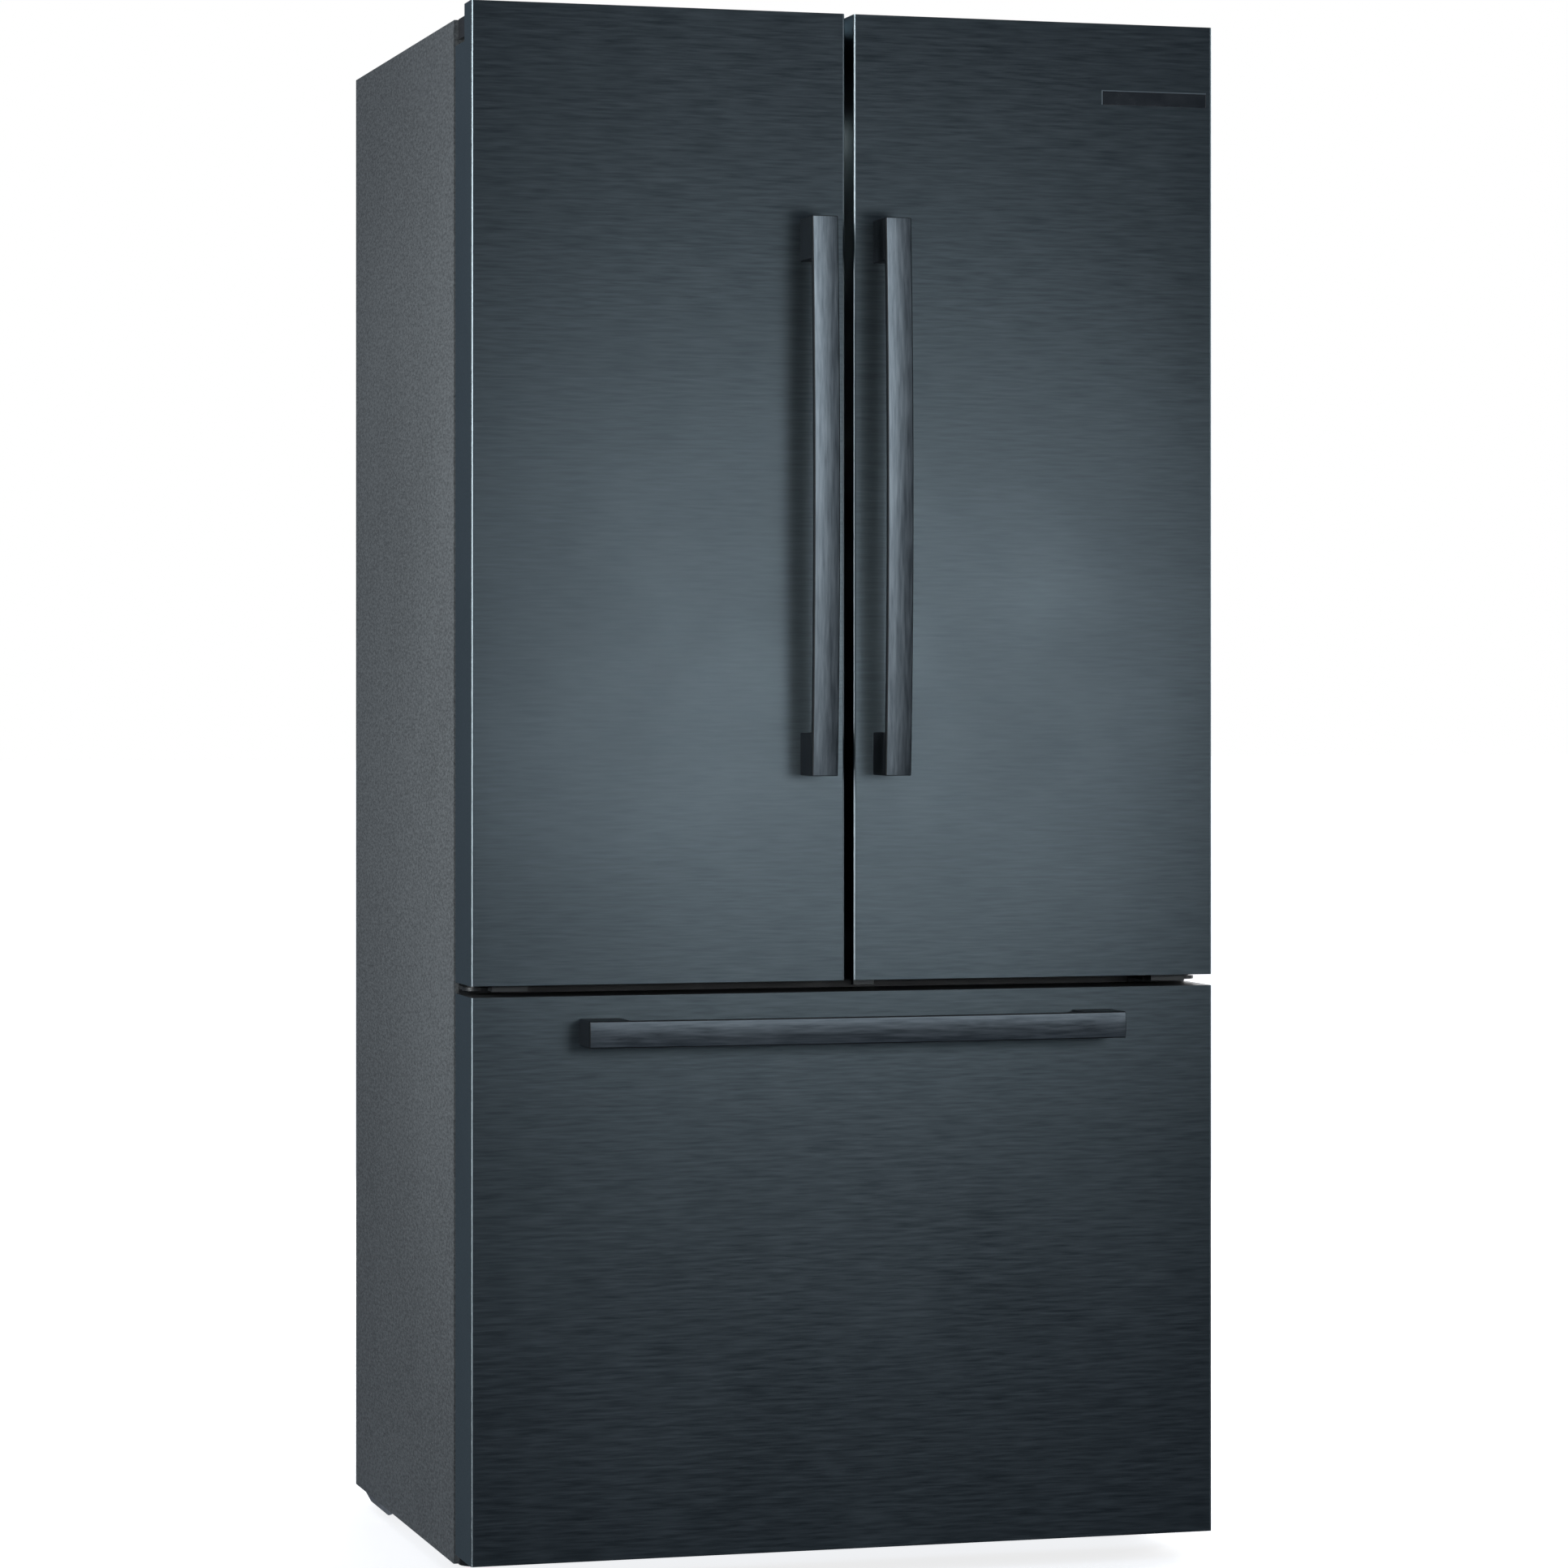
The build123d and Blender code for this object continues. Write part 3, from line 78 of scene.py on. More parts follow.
# ---- Materials ----
class Look:
    """One material, with short calls for the nodes that colour and roughen it."""

    def __init__(self, name, **settings):
        self.material = bpy.data.materials.new(name)
        self.material.use_nodes = True
        self.tree = self.material.node_tree
        self.shader = self.tree.nodes["Principled BSDF"]
        self.place = self.add("ShaderNodeTexCoord").outputs["Object"]
        for socket, value in settings.items():
            self.shader.inputs[socket.replace("_", " ")].default_value = value

    def add(self, kind, **properties):
        node = self.tree.nodes.new(kind)
        for key, value in properties.items():
            setattr(node, key, value)
        return node

    def wire(self, source, target):
        if hasattr(source, "is_output"):
            self.tree.links.new(source, target)
        else:
            target.default_value = source

    def noise(self, scale, detail=2.0, roughness=0.5, distortion=0.0):
        """Noise with its own scale on each axis, in cycles per metre."""
        stretch = self.add("ShaderNodeMapping")
        stretch.inputs["Scale"].default_value = scale
        self.wire(self.place, stretch.inputs["Vector"])
        grain = self.add("ShaderNodeTexNoise")
        self.wire(stretch.outputs["Vector"], grain.inputs["Vector"])
        grain.inputs["Scale"].default_value = 1.0
        grain.inputs["Detail"].default_value = detail
        grain.inputs["Roughness"].default_value = roughness
        grain.inputs["Distortion"].default_value = distortion
        return grain.outputs["Fac"]

    def cells(self, scale, feature="F1"):
        cell = self.add("ShaderNodeTexVoronoi", feature=feature)
        self.wire(self.place, cell.inputs["Vector"])
        cell.inputs["Scale"].default_value = scale
        return cell

    def spread(self, value, low, high, out_low=0.0, out_high=1.0):
        """value between low and high becomes out_low to out_high."""
        node = self.add("ShaderNodeMapRange", clamp=True)
        limits = {"From Min": low, "From Max": high, "To Min": out_low, "To Max": out_high}
        for socket, number in limits.items():
            self.wire(number, node.inputs[socket])
        self.wire(value, node.inputs["Value"])
        return node.outputs["Result"]

    def math(self, operation, a, b=0.0):
        node = self.add("ShaderNodeMath", operation=operation)
        self.wire(a, node.inputs[0])
        self.wire(b, node.inputs[1])
        return node.outputs["Value"]

    def mix(self, share, a, b):
        node = self.add("ShaderNodeMix", data_type="RGBA")
        self.wire(share, node.inputs["Factor"])
        for colour, socket in ((a, node.inputs[6]), (b, node.inputs[7])):
            self.wire(colour if hasattr(colour, "is_output") else (*colour, 1.0), socket)
        return node.outputs[2]

    def axis(self, name, source=None):
        """The X, Y or Z part of a vector, by default of the object-space place."""
        node = self.add("ShaderNodeSeparateXYZ")
        self.wire(source or self.place, node.inputs["Vector"])
        return node.outputs[name]

    def facing(self, name):
        """The object-space X, Y or Z part of the surface normal."""
        return self.axis(name, self.add("ShaderNodeTexCoord").outputs["Normal"])

    def edges(self, radius):
        """1 on edges sharper than radius and 0 on flat ground, for wear."""
        soft = self.add("ShaderNodeBevel", samples=4)
        soft.inputs["Radius"].default_value = radius
        plain = self.add("ShaderNodeNewGeometry").outputs["Normal"]
        dot = self.add("ShaderNodeVectorMath", operation="DOT_PRODUCT")
        self.wire(soft.outputs["Normal"], dot.inputs[0])
        self.wire(plain, dot.inputs[1])
        return self.spread(dot.outputs["Value"], 0.995, 0.85)

    def colour(self, source):
        self.wire(source, self.shader.inputs["Base Color"])

    def rough(self, source):
        self.wire(source, self.shader.inputs["Roughness"])

    def bump(self, height, distance, strength=1.0):
        node = self.add("ShaderNodeBump")
        node.inputs["Distance"].default_value = distance
        node.inputs["Strength"].default_value = strength
        before = self.shader.inputs["Normal"]
        if before.is_linked:
            self.wire(before.links[0].from_socket, node.inputs["Normal"])
        self.wire(height, node.inputs["Height"])
        self.wire(node.outputs["Normal"], before)

    def tangent(self, direction):
        """Direction, fixed to the piece, that highlights are stretched along."""
        turn = self.add("ShaderNodeVectorTransform", vector_type="VECTOR")
        turn.convert_from, turn.convert_to = "OBJECT", "WORLD"
        turn.inputs["Vector"].default_value = direction
        self.wire(turn.outputs["Vector"], self.shader.inputs["Tangent"])


def brushed_steel(name, dark, light, along, rough, fleck=1.0):
    """Metal with fine brush lines that run along "X", "Y" or "Z"."""
    look = Look(name, Metallic=1.0, Anisotropic=0.6)

    def scale(lengthways, across):
        return tuple(lengthways if axis == along else across for axis in "XYZ")

    grain = look.noise(scale(20, 290), 2, 0.5)
    hair = look.noise(scale(45, 1300), 2, 0.6)
    band = look.noise(scale(3, 60), 2, 0.5)
    lines = look.math("ADD", look.math("MULTIPLY", grain, 0.64), look.math("MULTIPLY", hair, 0.3))
    lines = look.math("ADD", lines, look.math("MULTIPLY", band, 0.06))
    half = 0.2 / fleck
    look.colour(look.mix(look.spread(lines, 0.5 - half, 0.5 + half), dark, light))
    cloud = look.noise((5, 5, 5), 3, 0.6)
    streaks = look.spread(lines, 0.3, 0.7, rough - 0.05, rough + 0.05)
    look.rough(look.math("ADD", streaks, look.spread(cloud, 0.3, 0.7, -0.025, 0.025)))
    look.bump(lines, 0.00004)
    look.tangent((0, 0, 1) if along == "X" else (1, 0, 0))
    return look


def front_steel():
    """The doors' dark coated steel: brush lines across, and a painted highlight, a paler colour on the
    sheet's bends.
    """
    look = brushed_steel("front_steel", (0.042, 0.054, 0.0615), (0.074, 0.09, 0.1), "X", 0.35)
    # Painted highlight: the bends of the sheet take a pale colour in place of the light they would
    # catch.
    turned_away = look.math("ABSOLUTE", look.facing("X"))
    off_front, off_side = look.spread(turned_away, 0.2, 0.5), look.spread(turned_away, 0.99, 0.9)
    bend_highlight = look.math("MULTIPLY", off_front, off_side)
    flat = look.shader.inputs["Base Color"].links[0].from_socket
    look.colour(look.mix(bend_highlight, flat, (0.17, 0.2, 0.215)))
    look.shader.inputs["Specular Tint"].default_value = (0.82, 0.94, 1.0, 1.0)
    return look.material


def handle_steel(name, along):
    look = brushed_steel(name, (0.05, 0.06, 0.0695), (0.098, 0.114, 0.128), along, 0.38, 1.3)
    return look.material


def stippled_paint(name, base, rough=0.5):
    """Sheet metal with baked paint: a fine orange peel and a finer stipple."""
    look = Look(name)
    peel = look.noise((420, 420, 420), 2, 0.5)
    stipple = look.noise((320, 130, 320), 2, 0.6)
    cloud = look.noise((2.2, 2.2, 2.2), 3, 0.5)
    tone = look.math("ADD", look.math("MULTIPLY", stipple, 0.8), look.math("MULTIPLY", cloud, 0.2))
    darker = tuple(c * 0.66 for c in base)
    lighter = tuple(min(c * 1.36, 1.0) for c in base)
    painted = look.mix(look.spread(tone, 0.36, 0.64), darker, lighter)
    worn = look.math("MULTIPLY", look.edges(0.0012), 0.35)
    look.colour(look.mix(worn, painted, tuple(c * 1.6 for c in base)))
    look.rough(look.spread(peel, 0.3, 0.7, rough - 0.06, rough + 0.06))
    look.bump(look.math("ADD", peel, look.math("MULTIPLY", stipple, 0.4)), 0.00012)
    return look.material


def galvanised():
    """Zinc-coated sheet with its crystal spangle."""
    look = Look("galvanised", Metallic=1.0)
    crystal = look.cells(150)
    tone = look.add("ShaderNodeSeparateXYZ")
    look.wire(crystal.outputs["Color"], tone.inputs["Vector"])
    cloud = look.noise((6, 6, 6), 4, 0.6)
    facet, haze = look.math("MULTIPLY", tone.outputs["X"], 0.6), look.math("MULTIPLY", cloud, 0.4)
    spangle = look.math("ADD", facet, haze)
    look.colour(look.mix(look.spread(spangle, 0.1, 0.9), (0.44, 0.46, 0.475), (0.58, 0.6, 0.61)))
    look.rough(look.spread(tone.outputs["Y"], 0, 1, 0.42, 0.56))
    look.bump(look.noise((300, 300, 300), 3, 0.6), 0.00008)
    return look.material


def plain_metal(name, dark, light, rough, metallic=1.0, wear=0.3):
    """Bare or plated metal: mottled tone, fine handling scratches, bright worn edges."""
    look = Look(name, Metallic=metallic)
    cloud = look.noise((40, 40, 40), 4, 0.65)
    scratch = look.noise((900, 60, 900), 2, 0.7, 0.4)
    tone = look.math("ADD", look.math("MULTIPLY", cloud, 0.6), look.math("MULTIPLY", scratch, 0.4))
    body = look.mix(look.spread(tone, 0.3, 0.7), dark, light)
    bright = tuple(min(1.0, c * 1.5 + 0.03) for c in light)
    look.colour(look.mix(look.math("MULTIPLY", look.edges(0.0008), wear), body, bright))
    look.rough(look.spread(tone, 0.3, 0.7, rough - 0.07, rough + 0.09))
    look.bump(scratch, 0.00005)
    return look.material


def moulded(name, base, rough, grain=1600, relief=0.00006, wear=0.25):
    """Moulded plastic: eroded grain, a faint flow mottle and slightly polished edges."""
    look = Look(name)
    pebble = look.noise((grain, grain, grain), 2, 0.5)
    cloud = look.noise((7, 7, 7), 3, 0.6)
    darker = tuple(c * 0.95 for c in base)
    lighter = tuple(min(1.0, c * 1.04) for c in base)
    body = look.mix(look.spread(cloud, 0.3, 0.7), darker, lighter)
    edge = tuple(min(1.0, c * 1.35 + 0.012) for c in base)
    look.colour(look.mix(look.math("MULTIPLY", look.edges(0.001), wear), body, edge))
    look.rough(look.spread(pebble, 0.3, 0.7, rough - 0.06, rough + 0.06))
    look.bump(pebble, relief)
    return look.material


def dull(material):
    """The same material with a weaker shine."""
    material.node_tree.nodes["Principled BSDF"].inputs["Specular IOR Level"].default_value = 0.2
    return material


def door_cap():
    """Black end caps whose closing cam below the door is moulded in grey."""
    look = Look("black_plastic_caps")
    pebble = look.noise((1600, 1600, 1600), 2, 0.5)
    cloud = look.noise((30, 30, 30), 3, 0.6)
    black = look.mix(look.spread(cloud, 0.3, 0.7), (0.012, 0.013, 0.014), (0.022, 0.023, 0.025))
    grey = look.mix(look.spread(cloud, 0.3, 0.7), (0.03, 0.033, 0.035), (0.045, 0.049, 0.051))
    below_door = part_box("left_door_skin")[0].z
    above_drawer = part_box("drawer_skin")[1].z
    low = look.math("LESS_THAN", look.axis("Z"), below_door)
    high = look.math("GREATER_THAN", look.axis("Z"), above_drawer)
    look.colour(look.mix(look.math("MULTIPLY", low, high), black, grey))
    look.rough(look.spread(pebble, 0.3, 0.7, 0.42, 0.56))
    look.bump(pebble, 0.00006)
    return look.material


def rubber():
    look = Look("gasket_rubber")
    fold = look.noise((300, 300, 300), 3, 0.6)
    dust = look.noise((25, 25, 25), 4, 0.65)
    look.colour(look.mix(look.spread(dust, 0.35, 0.75), (0.035, 0.037, 0.039), (0.065, 0.067, 0.07)))
    look.rough(look.spread(fold, 0.3, 0.7, 0.6, 0.8))
    look.bump(fold, 0.00015)
    return look.material


def shelf_glass():
    """Tempered shelf glass: clear with a faint green cast."""
    look = Look("shelf_glass", IOR=1.5, Transmission_Weight=1.0)
    smear = look.noise((14, 14, 14), 4, 0.6)
    look.colour(look.mix(look.spread(smear, 0.3, 0.7), (0.88, 0.95, 0.93), (0.93, 0.98, 0.965)))
    look.rough(look.spread(smear, 0.35, 0.75, 0.01, 0.06))
    return look.material


def clear_plastic():
    """Clear styrene: slightly smoky, with faint handling haze."""
    look = Look("clear_plastic", IOR=1.49, Transmission_Weight=0.88)
    haze = look.noise((22, 22, 22), 4, 0.65)
    flow = look.noise((3, 3, 40), 2, 0.5)
    look.colour(look.mix(look.spread(flow, 0.3, 0.7), (0.87, 0.915, 0.93), (0.93, 0.96, 0.97)))
    look.rough(look.spread(haze, 0.3, 0.75, 0.06, 0.16))
    look.bump(flow, 0.0002)
    return look.material


def foam():
    look = Look("foam")
    bubble = look.cells(420)
    cloud = look.noise((30, 30, 30), 3, 0.6)
    look.colour(look.mix(look.spread(cloud, 0.3, 0.7), (0.72, 0.6, 0.32), (0.84, 0.74, 0.46)))
    look.rough(look.spread(bubble.outputs["Distance"], 0, 0.5, 0.75, 0.95))
    look.bump(bubble.outputs["Distance"], 0.0006)
    return look.material


def plate_gloss():
    """Dark glossy plate with a painted highlight, a paler line inside its top and left edges."""
    look = Look("plate_gloss", Coat_Weight=0.6, Coat_Roughness=0.08)
    low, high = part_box("name_plate")
    # Painted highlight: a pale line inside the top and left edges only, where the light catches them.
    line = 1.3 * MM
    top = look.math("GREATER_THAN", look.axis("Z"), high.z - line)
    left = look.math("LESS_THAN", look.axis("X"), low.x + line)
    edge = look.math("MAXIMUM", top, left)
    cloud = look.noise((40, 40, 40), 3, 0.6)
    black = look.mix(look.spread(cloud, 0.3, 0.7), (0.009, 0.012, 0.015), (0.016, 0.02, 0.024))
    look.colour(look.mix(edge, black, (0.12, 0.145, 0.16)))
    look.rough(look.spread(cloud, 0.3, 0.7, 0.16, 0.28))
    look.bump(look.noise((700, 700, 700), 2, 0.5), 0.00003)
    return look.material


def lamp_lens():
    """Opal lens of the ceiling lamp."""
    look = Look("lamp_lens", Emission_Strength=5.0)
    ribs = look.noise((4, 420, 4), 1, 0.5)
    look.colour(look.mix(look.spread(ribs, 0.35, 0.65), (0.84, 0.85, 0.84), (0.93, 0.94, 0.93)))
    look.shader.inputs["Emission Color"].default_value = (1.0, 0.97, 0.92, 1.0)
    look.rough(look.spread(ribs, 0.3, 0.7, 0.25, 0.4))
    look.bump(ribs, 0.0003)
    return look.material


def make_materials():
    """One material for each of the record's slots, and a few that only the visual model needs."""
    return {
        "front_steel": front_steel(),
        "handle_steel": handle_steel("handle_steel", "Z"),
        "handle_steel_across": handle_steel("handle_steel_across", "X"),
        # Near-black flanks of the bars: a painted shade for their dark outline.
        "flank_painted_shade": dull(plain_metal(
            "flank_painted_shade", (0.002, 0.0027, 0.0036), (0.0035, 0.0045, 0.006), 0.5, 0.0, 0.05
        )),
        "mount_plastic": dull(moulded("mount_plastic", (0.0055, 0.0068, 0.0088), 0.45)),
        "cabinet_paint": stippled_paint("cabinet_paint", (0.0905, 0.0965, 0.0985)),
        "galvanised": galvanised(),
        "black_steel": plain_metal(
            "black_steel", (0.008, 0.009, 0.01), (0.016, 0.017, 0.018), 0.38, 0.0, 0.15
        ),
        "black_plastic": moulded("black_plastic", (0.017, 0.018, 0.02), 0.5),
        "door_caps": door_cap(),
        "gasket_rubber": rubber(),
        "liner_plastic": moulded("liner_plastic", (0.78, 0.795, 0.79), 0.3, 900, 0.00005, 0.1),
        "foam": foam(),
        "shelf_glass": shelf_glass(),
        "trim_plastic": moulded("trim_plastic", (0.5, 0.52, 0.535), 0.36, 1400, 0.00004),
        "clear_plastic": clear_plastic(),
        "console_plastic": moulded("console_plastic", (0.62, 0.635, 0.645), 0.45),
        "rail_steel": plain_metal("rail_steel", (0.5, 0.51, 0.52), (0.66, 0.67, 0.68), 0.3),
        "fin_aluminium": plain_metal("fin_aluminium", (0.66, 0.67, 0.68), (0.8, 0.81, 0.82), 0.32),
        "condenser_steel": plain_metal(
            "condenser_steel", (0.02, 0.02, 0.022), (0.045, 0.045, 0.05), 0.5, 0.0
        ),
        "fan_plastic": moulded("fan_plastic", (0.05, 0.054, 0.06), 0.46),
        "roller_plastic": moulded("roller_plastic", (0.19, 0.195, 0.2), 0.6),
        "screw_steel": plain_metal("screw_steel", (0.55, 0.56, 0.57), (0.75, 0.76, 0.77), 0.26),
        "plate_gloss": plate_gloss(),
        "lamp_lens": lamp_lens(),
        "copper": plain_metal("copper", (0.56, 0.25, 0.13), (0.78, 0.4, 0.24), 0.33),
        "stop_plastic": moulded("stop_plastic", (0.46, 0.48, 0.49), 0.45),
    }


materials = make_materials()


def dress_nodes():
    """Every CAD node takes its slot's material; a few take a closer one."""
    special = {"drawer_handle_bar": "handle_steel_across"}
    special.update({f"{door}_caps": "door_caps" for door in ("left_door", "right_door", "drawer")})
    for part in frame["record"]["subparts"]:
        name = part["node"]
        mesh = nodes[name].data
        mesh.materials.clear()
        mesh.materials.append(materials[special.get(name, part["material_slot"])])


dress_nodes()


# ---- Mesh helpers ----
SAME = 1e-6
POINT = 0.05 * MM


def add_piece(name, shape, slot, body, replaced=(), looks=None, crease=32, flat_faces=True):
    """Turns a bmesh into a smooth-shaded piece that rides on a body."""
    bmesh.ops.recalc_face_normals(shape, faces=shape.faces)
    for face in shape.faces:
        face.smooth = True
    mesh = bpy.data.meshes.new(name)
    shape.to_mesh(mesh)
    shape.free()
    mesh.set_sharp_from_angle(angle=math.radians(crease))
    for look in looks or [slot]:
        mesh.materials.append(materials[look])
    piece = placed(name, mesh)
    if flat_faces:
        weigh = piece.modifiers.new("flat faces", "WEIGHTED_NORMAL")
        weigh.keep_sharp = True
    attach(piece, body)
    if replaced:
        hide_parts(*replaced)
    return piece


def bridge(shape, rings, closed_ring=True, cap_start=False, cap_end=False, loop=False):
    """Faces between rings that hold the same number of points."""
    rows = [[shape.verts.new(p) for p in ring] for ring in rings]
    pairs = list(zip(rows, rows[1:]))
    if loop:
        pairs.append((rows[-1], rows[0]))
    for first, second in pairs:
        count = len(first)
        for i in range(count if closed_ring else count - 1):
            j = (i + 1) % count
            shape.faces.new((first[i], first[j], second[j], second[i]))
    if cap_start:
        shape.faces.new(list(reversed(rows[0])))
    if cap_end:
        shape.faces.new(rows[-1])
    return rows


def arc(centre_u, centre_v, radius, start, end, steps):
    """Points on an arc, in degrees."""
    turns = [math.radians(start + (end - start) * i / steps) for i in range(steps + 1)]
    return [(centre_u + radius * math.cos(t), centre_v + radius * math.sin(t)) for t in turns]


def rounded_ring(plane, span_u, span_v, radius, level, steps=6):
    """Corner points of a rounded rectangle on the "XY" or "XZ" plane at that level."""
    (u0, u1), (v0, v1) = span_u, span_v
    corners = ((u1 - radius, v1 - radius, 0), (u0 + radius, v1 - radius, 90))
    corners += ((u0 + radius, v0 + radius, 180), (u1 - radius, v0 + radius, 270))
    flat = [p for u, v, start in corners for p in arc(u, v, radius, start, start + 90, steps)]
    if plane == "XY":
        return [(u, v, level) for u, v in flat]
    return [(u, level, v) for u, v in flat]


def block(shape, x, y, z, radius, segments=3):
    """A box with rounded edges, added to a bmesh."""
    low_corner, high_corner = (Vector(c) for c in zip(*(sorted(span) for span in (x, y, z))))
    made = bmesh.ops.create_cube(shape, size=1.0)["verts"]
    for vert in made:
        vert.co = low_corner + (vert.co + Vector((0.5, 0.5, 0.5))) * (high_corner - low_corner)
    edges = list(dict.fromkeys(edge for vert in made for edge in vert.link_edges))
    bmesh.ops.bevel(shape, geom=edges, offset=radius, segments=segments, profile=0.5, affect="EDGES")


def turned(shape, profile, centre, steps=32, cap=True):
    """A round piece from (radius, height) pairs, turned about an upright axis through centre."""
    rings = []
    for radius, height in profile:
        flat = arc(0, 0, max(radius, POINT), 0, 360 - 360 / steps, steps - 1)
        rings.append([tuple(Vector((u, v, height)) + Vector(centre)) for u, v in flat])
    bridge(shape, rings, cap_start=cap, cap_end=cap)


# ---- Door and drawer fronts ----
SHEET = 1.0 * MM
BEND = 3.0 * MM
SHEET_RIM = 0.25 * MM
NOTCH_DEPTH, NOTCH_HEIGHT = mm(37, 43)


def front_skin(name, body, side):
    """Outer sheet of a front: bent round both edges and open to the top hinge at its corner."""
    lo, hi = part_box(name)
    back = hi.y
    notch_y, notch_z = depth(NOTCH_DEPTH), hi.z - NOTCH_HEIGHT
    top = [hi.z] if not side else [notch_z, hi.z]
    outline = [(lo.x, back), (lo.x, notch_y), *arc(lo.x + BEND, lo.y + BEND, BEND, 180, 270, 8)]
    outline += [*arc(hi.x - BEND, lo.y + BEND, BEND, 270, 360, 8), (hi.x, notch_y), (hi.x, back)]
    shape = bmesh.new()
    rings = [[(x, y, z) for x, y in outline] for z in [lo.z, *top]]
    rows = bridge(shape, rings, closed_ring=False)
    if side:
        above = set(rows[1]) | set(rows[2])
        outer = lo.x if side < 0 else hi.x
        cut = {v for v in above if abs(v.co.x - outer) < SAME and v.co.y > notch_y - SAME}
        spare = [face for face in shape.faces if all(v in cut for v in face.verts)]
        bmesh.ops.delete(shape, geom=spare, context="FACES")
    piece = add_piece(f"{name}_sheet", shape, "front_steel", body, [name], flat_faces=False)
    thick = piece.modifiers.new("sheet", "SOLIDIFY")
    thick.thickness, thick.offset = SHEET, -1.0
    thick.use_even_offset = True
    rim = piece.modifiers.new("rim", "BEVEL")
    rim.width, rim.segments, rim.limit_method, rim.angle_limit = SHEET_RIM, 2, "ANGLE", math.radians(50)
    weigh = piece.modifiers.new("flat faces", "WEIGHTED_NORMAL")
    weigh.keep_sharp = True


# ---- Handles ----
BAR_EDGE, BAR_CROWN, BAR_THICK, BAR_BOW, BAR_END = mm(1.5, 1.3, 8, 9.5, 0.8)
BAR_STATIONS = 36
FRONTAL = -0.94
MOUNT_LENGTH, MOUNT_EDGE, MOUNT_SHORT = mm(50, 1.6, 1.0)


def bar_section(half_width, back, reach, inset):
    """Section of a bar with a crowned face: (across, outwards) points, shrunk by inset."""
    edge, crown = BAR_EDGE, BAR_CROWN
    half, front = half_width - inset, reach - crown - inset
    radius = ((half - edge) ** 2 + crown ** 2) / (2 * crown)
    sweep = math.degrees(math.asin((half - edge) / radius))
    points = [(-half, back + inset)]
    points += arc(-half + edge, front - edge, edge, 180, 90 + sweep, 4)
    points += arc(0, front + crown - radius, radius, 90 + sweep, 90 - sweep, 14)[1:-1]
    points += arc(half - edge, front - edge, edge, 90 - sweep, 0, 4)
    points += [(half, back + inset)]
    return points


def handle_bar(node, body, along):
    """Bowed bar with a crowned brushed face; its flanks are near-black, a painted shade for the dark
    outline their edges show.
    """
    lo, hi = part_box(node)
    width = hi.x - lo.x if along == "Z" else hi.z - lo.z
    length = hi.z - lo.z if along == "Z" else hi.x - lo.x
    centre = (lo + hi) / 2
    reach = FACE_Y - lo.y
    radius = (length / 2) ** 2 / (2 * BAR_BOW) + BAR_BOW / 2
    edge = BAR_END
    half = length / 2
    stations = [(-half, edge), (-half + edge * 0.4, edge * 0.35), (-half + edge, 0.0)]
    for i in range(1, BAR_STATIONS):
        stations.append((-half + edge + (length - 2 * edge) * i / BAR_STATIONS, 0.0))
    stations += [(half - edge, 0.0), (half - edge * 0.4, edge * 0.35), (half, edge)]
    rings = []
    for s, inset in stations:
        angle = math.asin(s / radius)
        drop = radius * (1 - math.cos(angle))
        ring = []
        for across, out in bar_section(width / 2, reach - BAR_THICK, reach, inset):
            y = FACE_Y - (out - drop)
            if along == "Z":
                ring.append((centre.x + across, y, centre.z + s))
            else:
                ring.append((centre.x + s, y, centre.z + across))
        rings.append(ring)
    shape = bmesh.new()
    bridge(shape, rings, cap_start=True, cap_end=True)
    bmesh.ops.recalc_face_normals(shape, faces=shape.faces)
    face_look = "handle_steel" if along == "Z" else "handle_steel_across"
    # Faces turned away from the front take the near-black flank colour: painted shade for the bar's
    # dark outline.
    for face in shape.faces:
        face.material_index = 0 if face.normal.y < FRONTAL else 1
    add_piece(f"{node}_piece", shape, "handle_steel", body, [node], [face_look, "flank_painted_shade"], 40)


def handle_mounts(node, body, along):
    """Two end blocks with rounded edges that carry a bar."""
    lo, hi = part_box(node)
    shape = bmesh.new()
    y = (lo.y + MOUNT_SHORT, FACE_Y)
    if along == "Z":
        for z in ((lo.z, lo.z + MOUNT_LENGTH), (hi.z - MOUNT_LENGTH, hi.z)):
            block(shape, (lo.x, hi.x), y, z, MOUNT_EDGE, 4)
    else:
        for x in ((lo.x, lo.x + MOUNT_LENGTH), (hi.x - MOUNT_LENGTH, hi.x)):
            block(shape, x, y, (lo.z, hi.z), MOUNT_EDGE, 4)
    add_piece(f"{node}_piece", shape, "mount_plastic", body, [node])


# ---- Hinge covers, blank plate and the centre stop ----
PIN_X, PIN_DEPTH, NOSE_R, NOSE_LIP = mm(433, 60, 18, 1.6)
NOSE_INNER, NOSE_OUTER, NOSE_BACK = mm(415, 447, 96)
COVER_SCREW = ((5, 0), (5, 0.5), (4.3, 0.9))


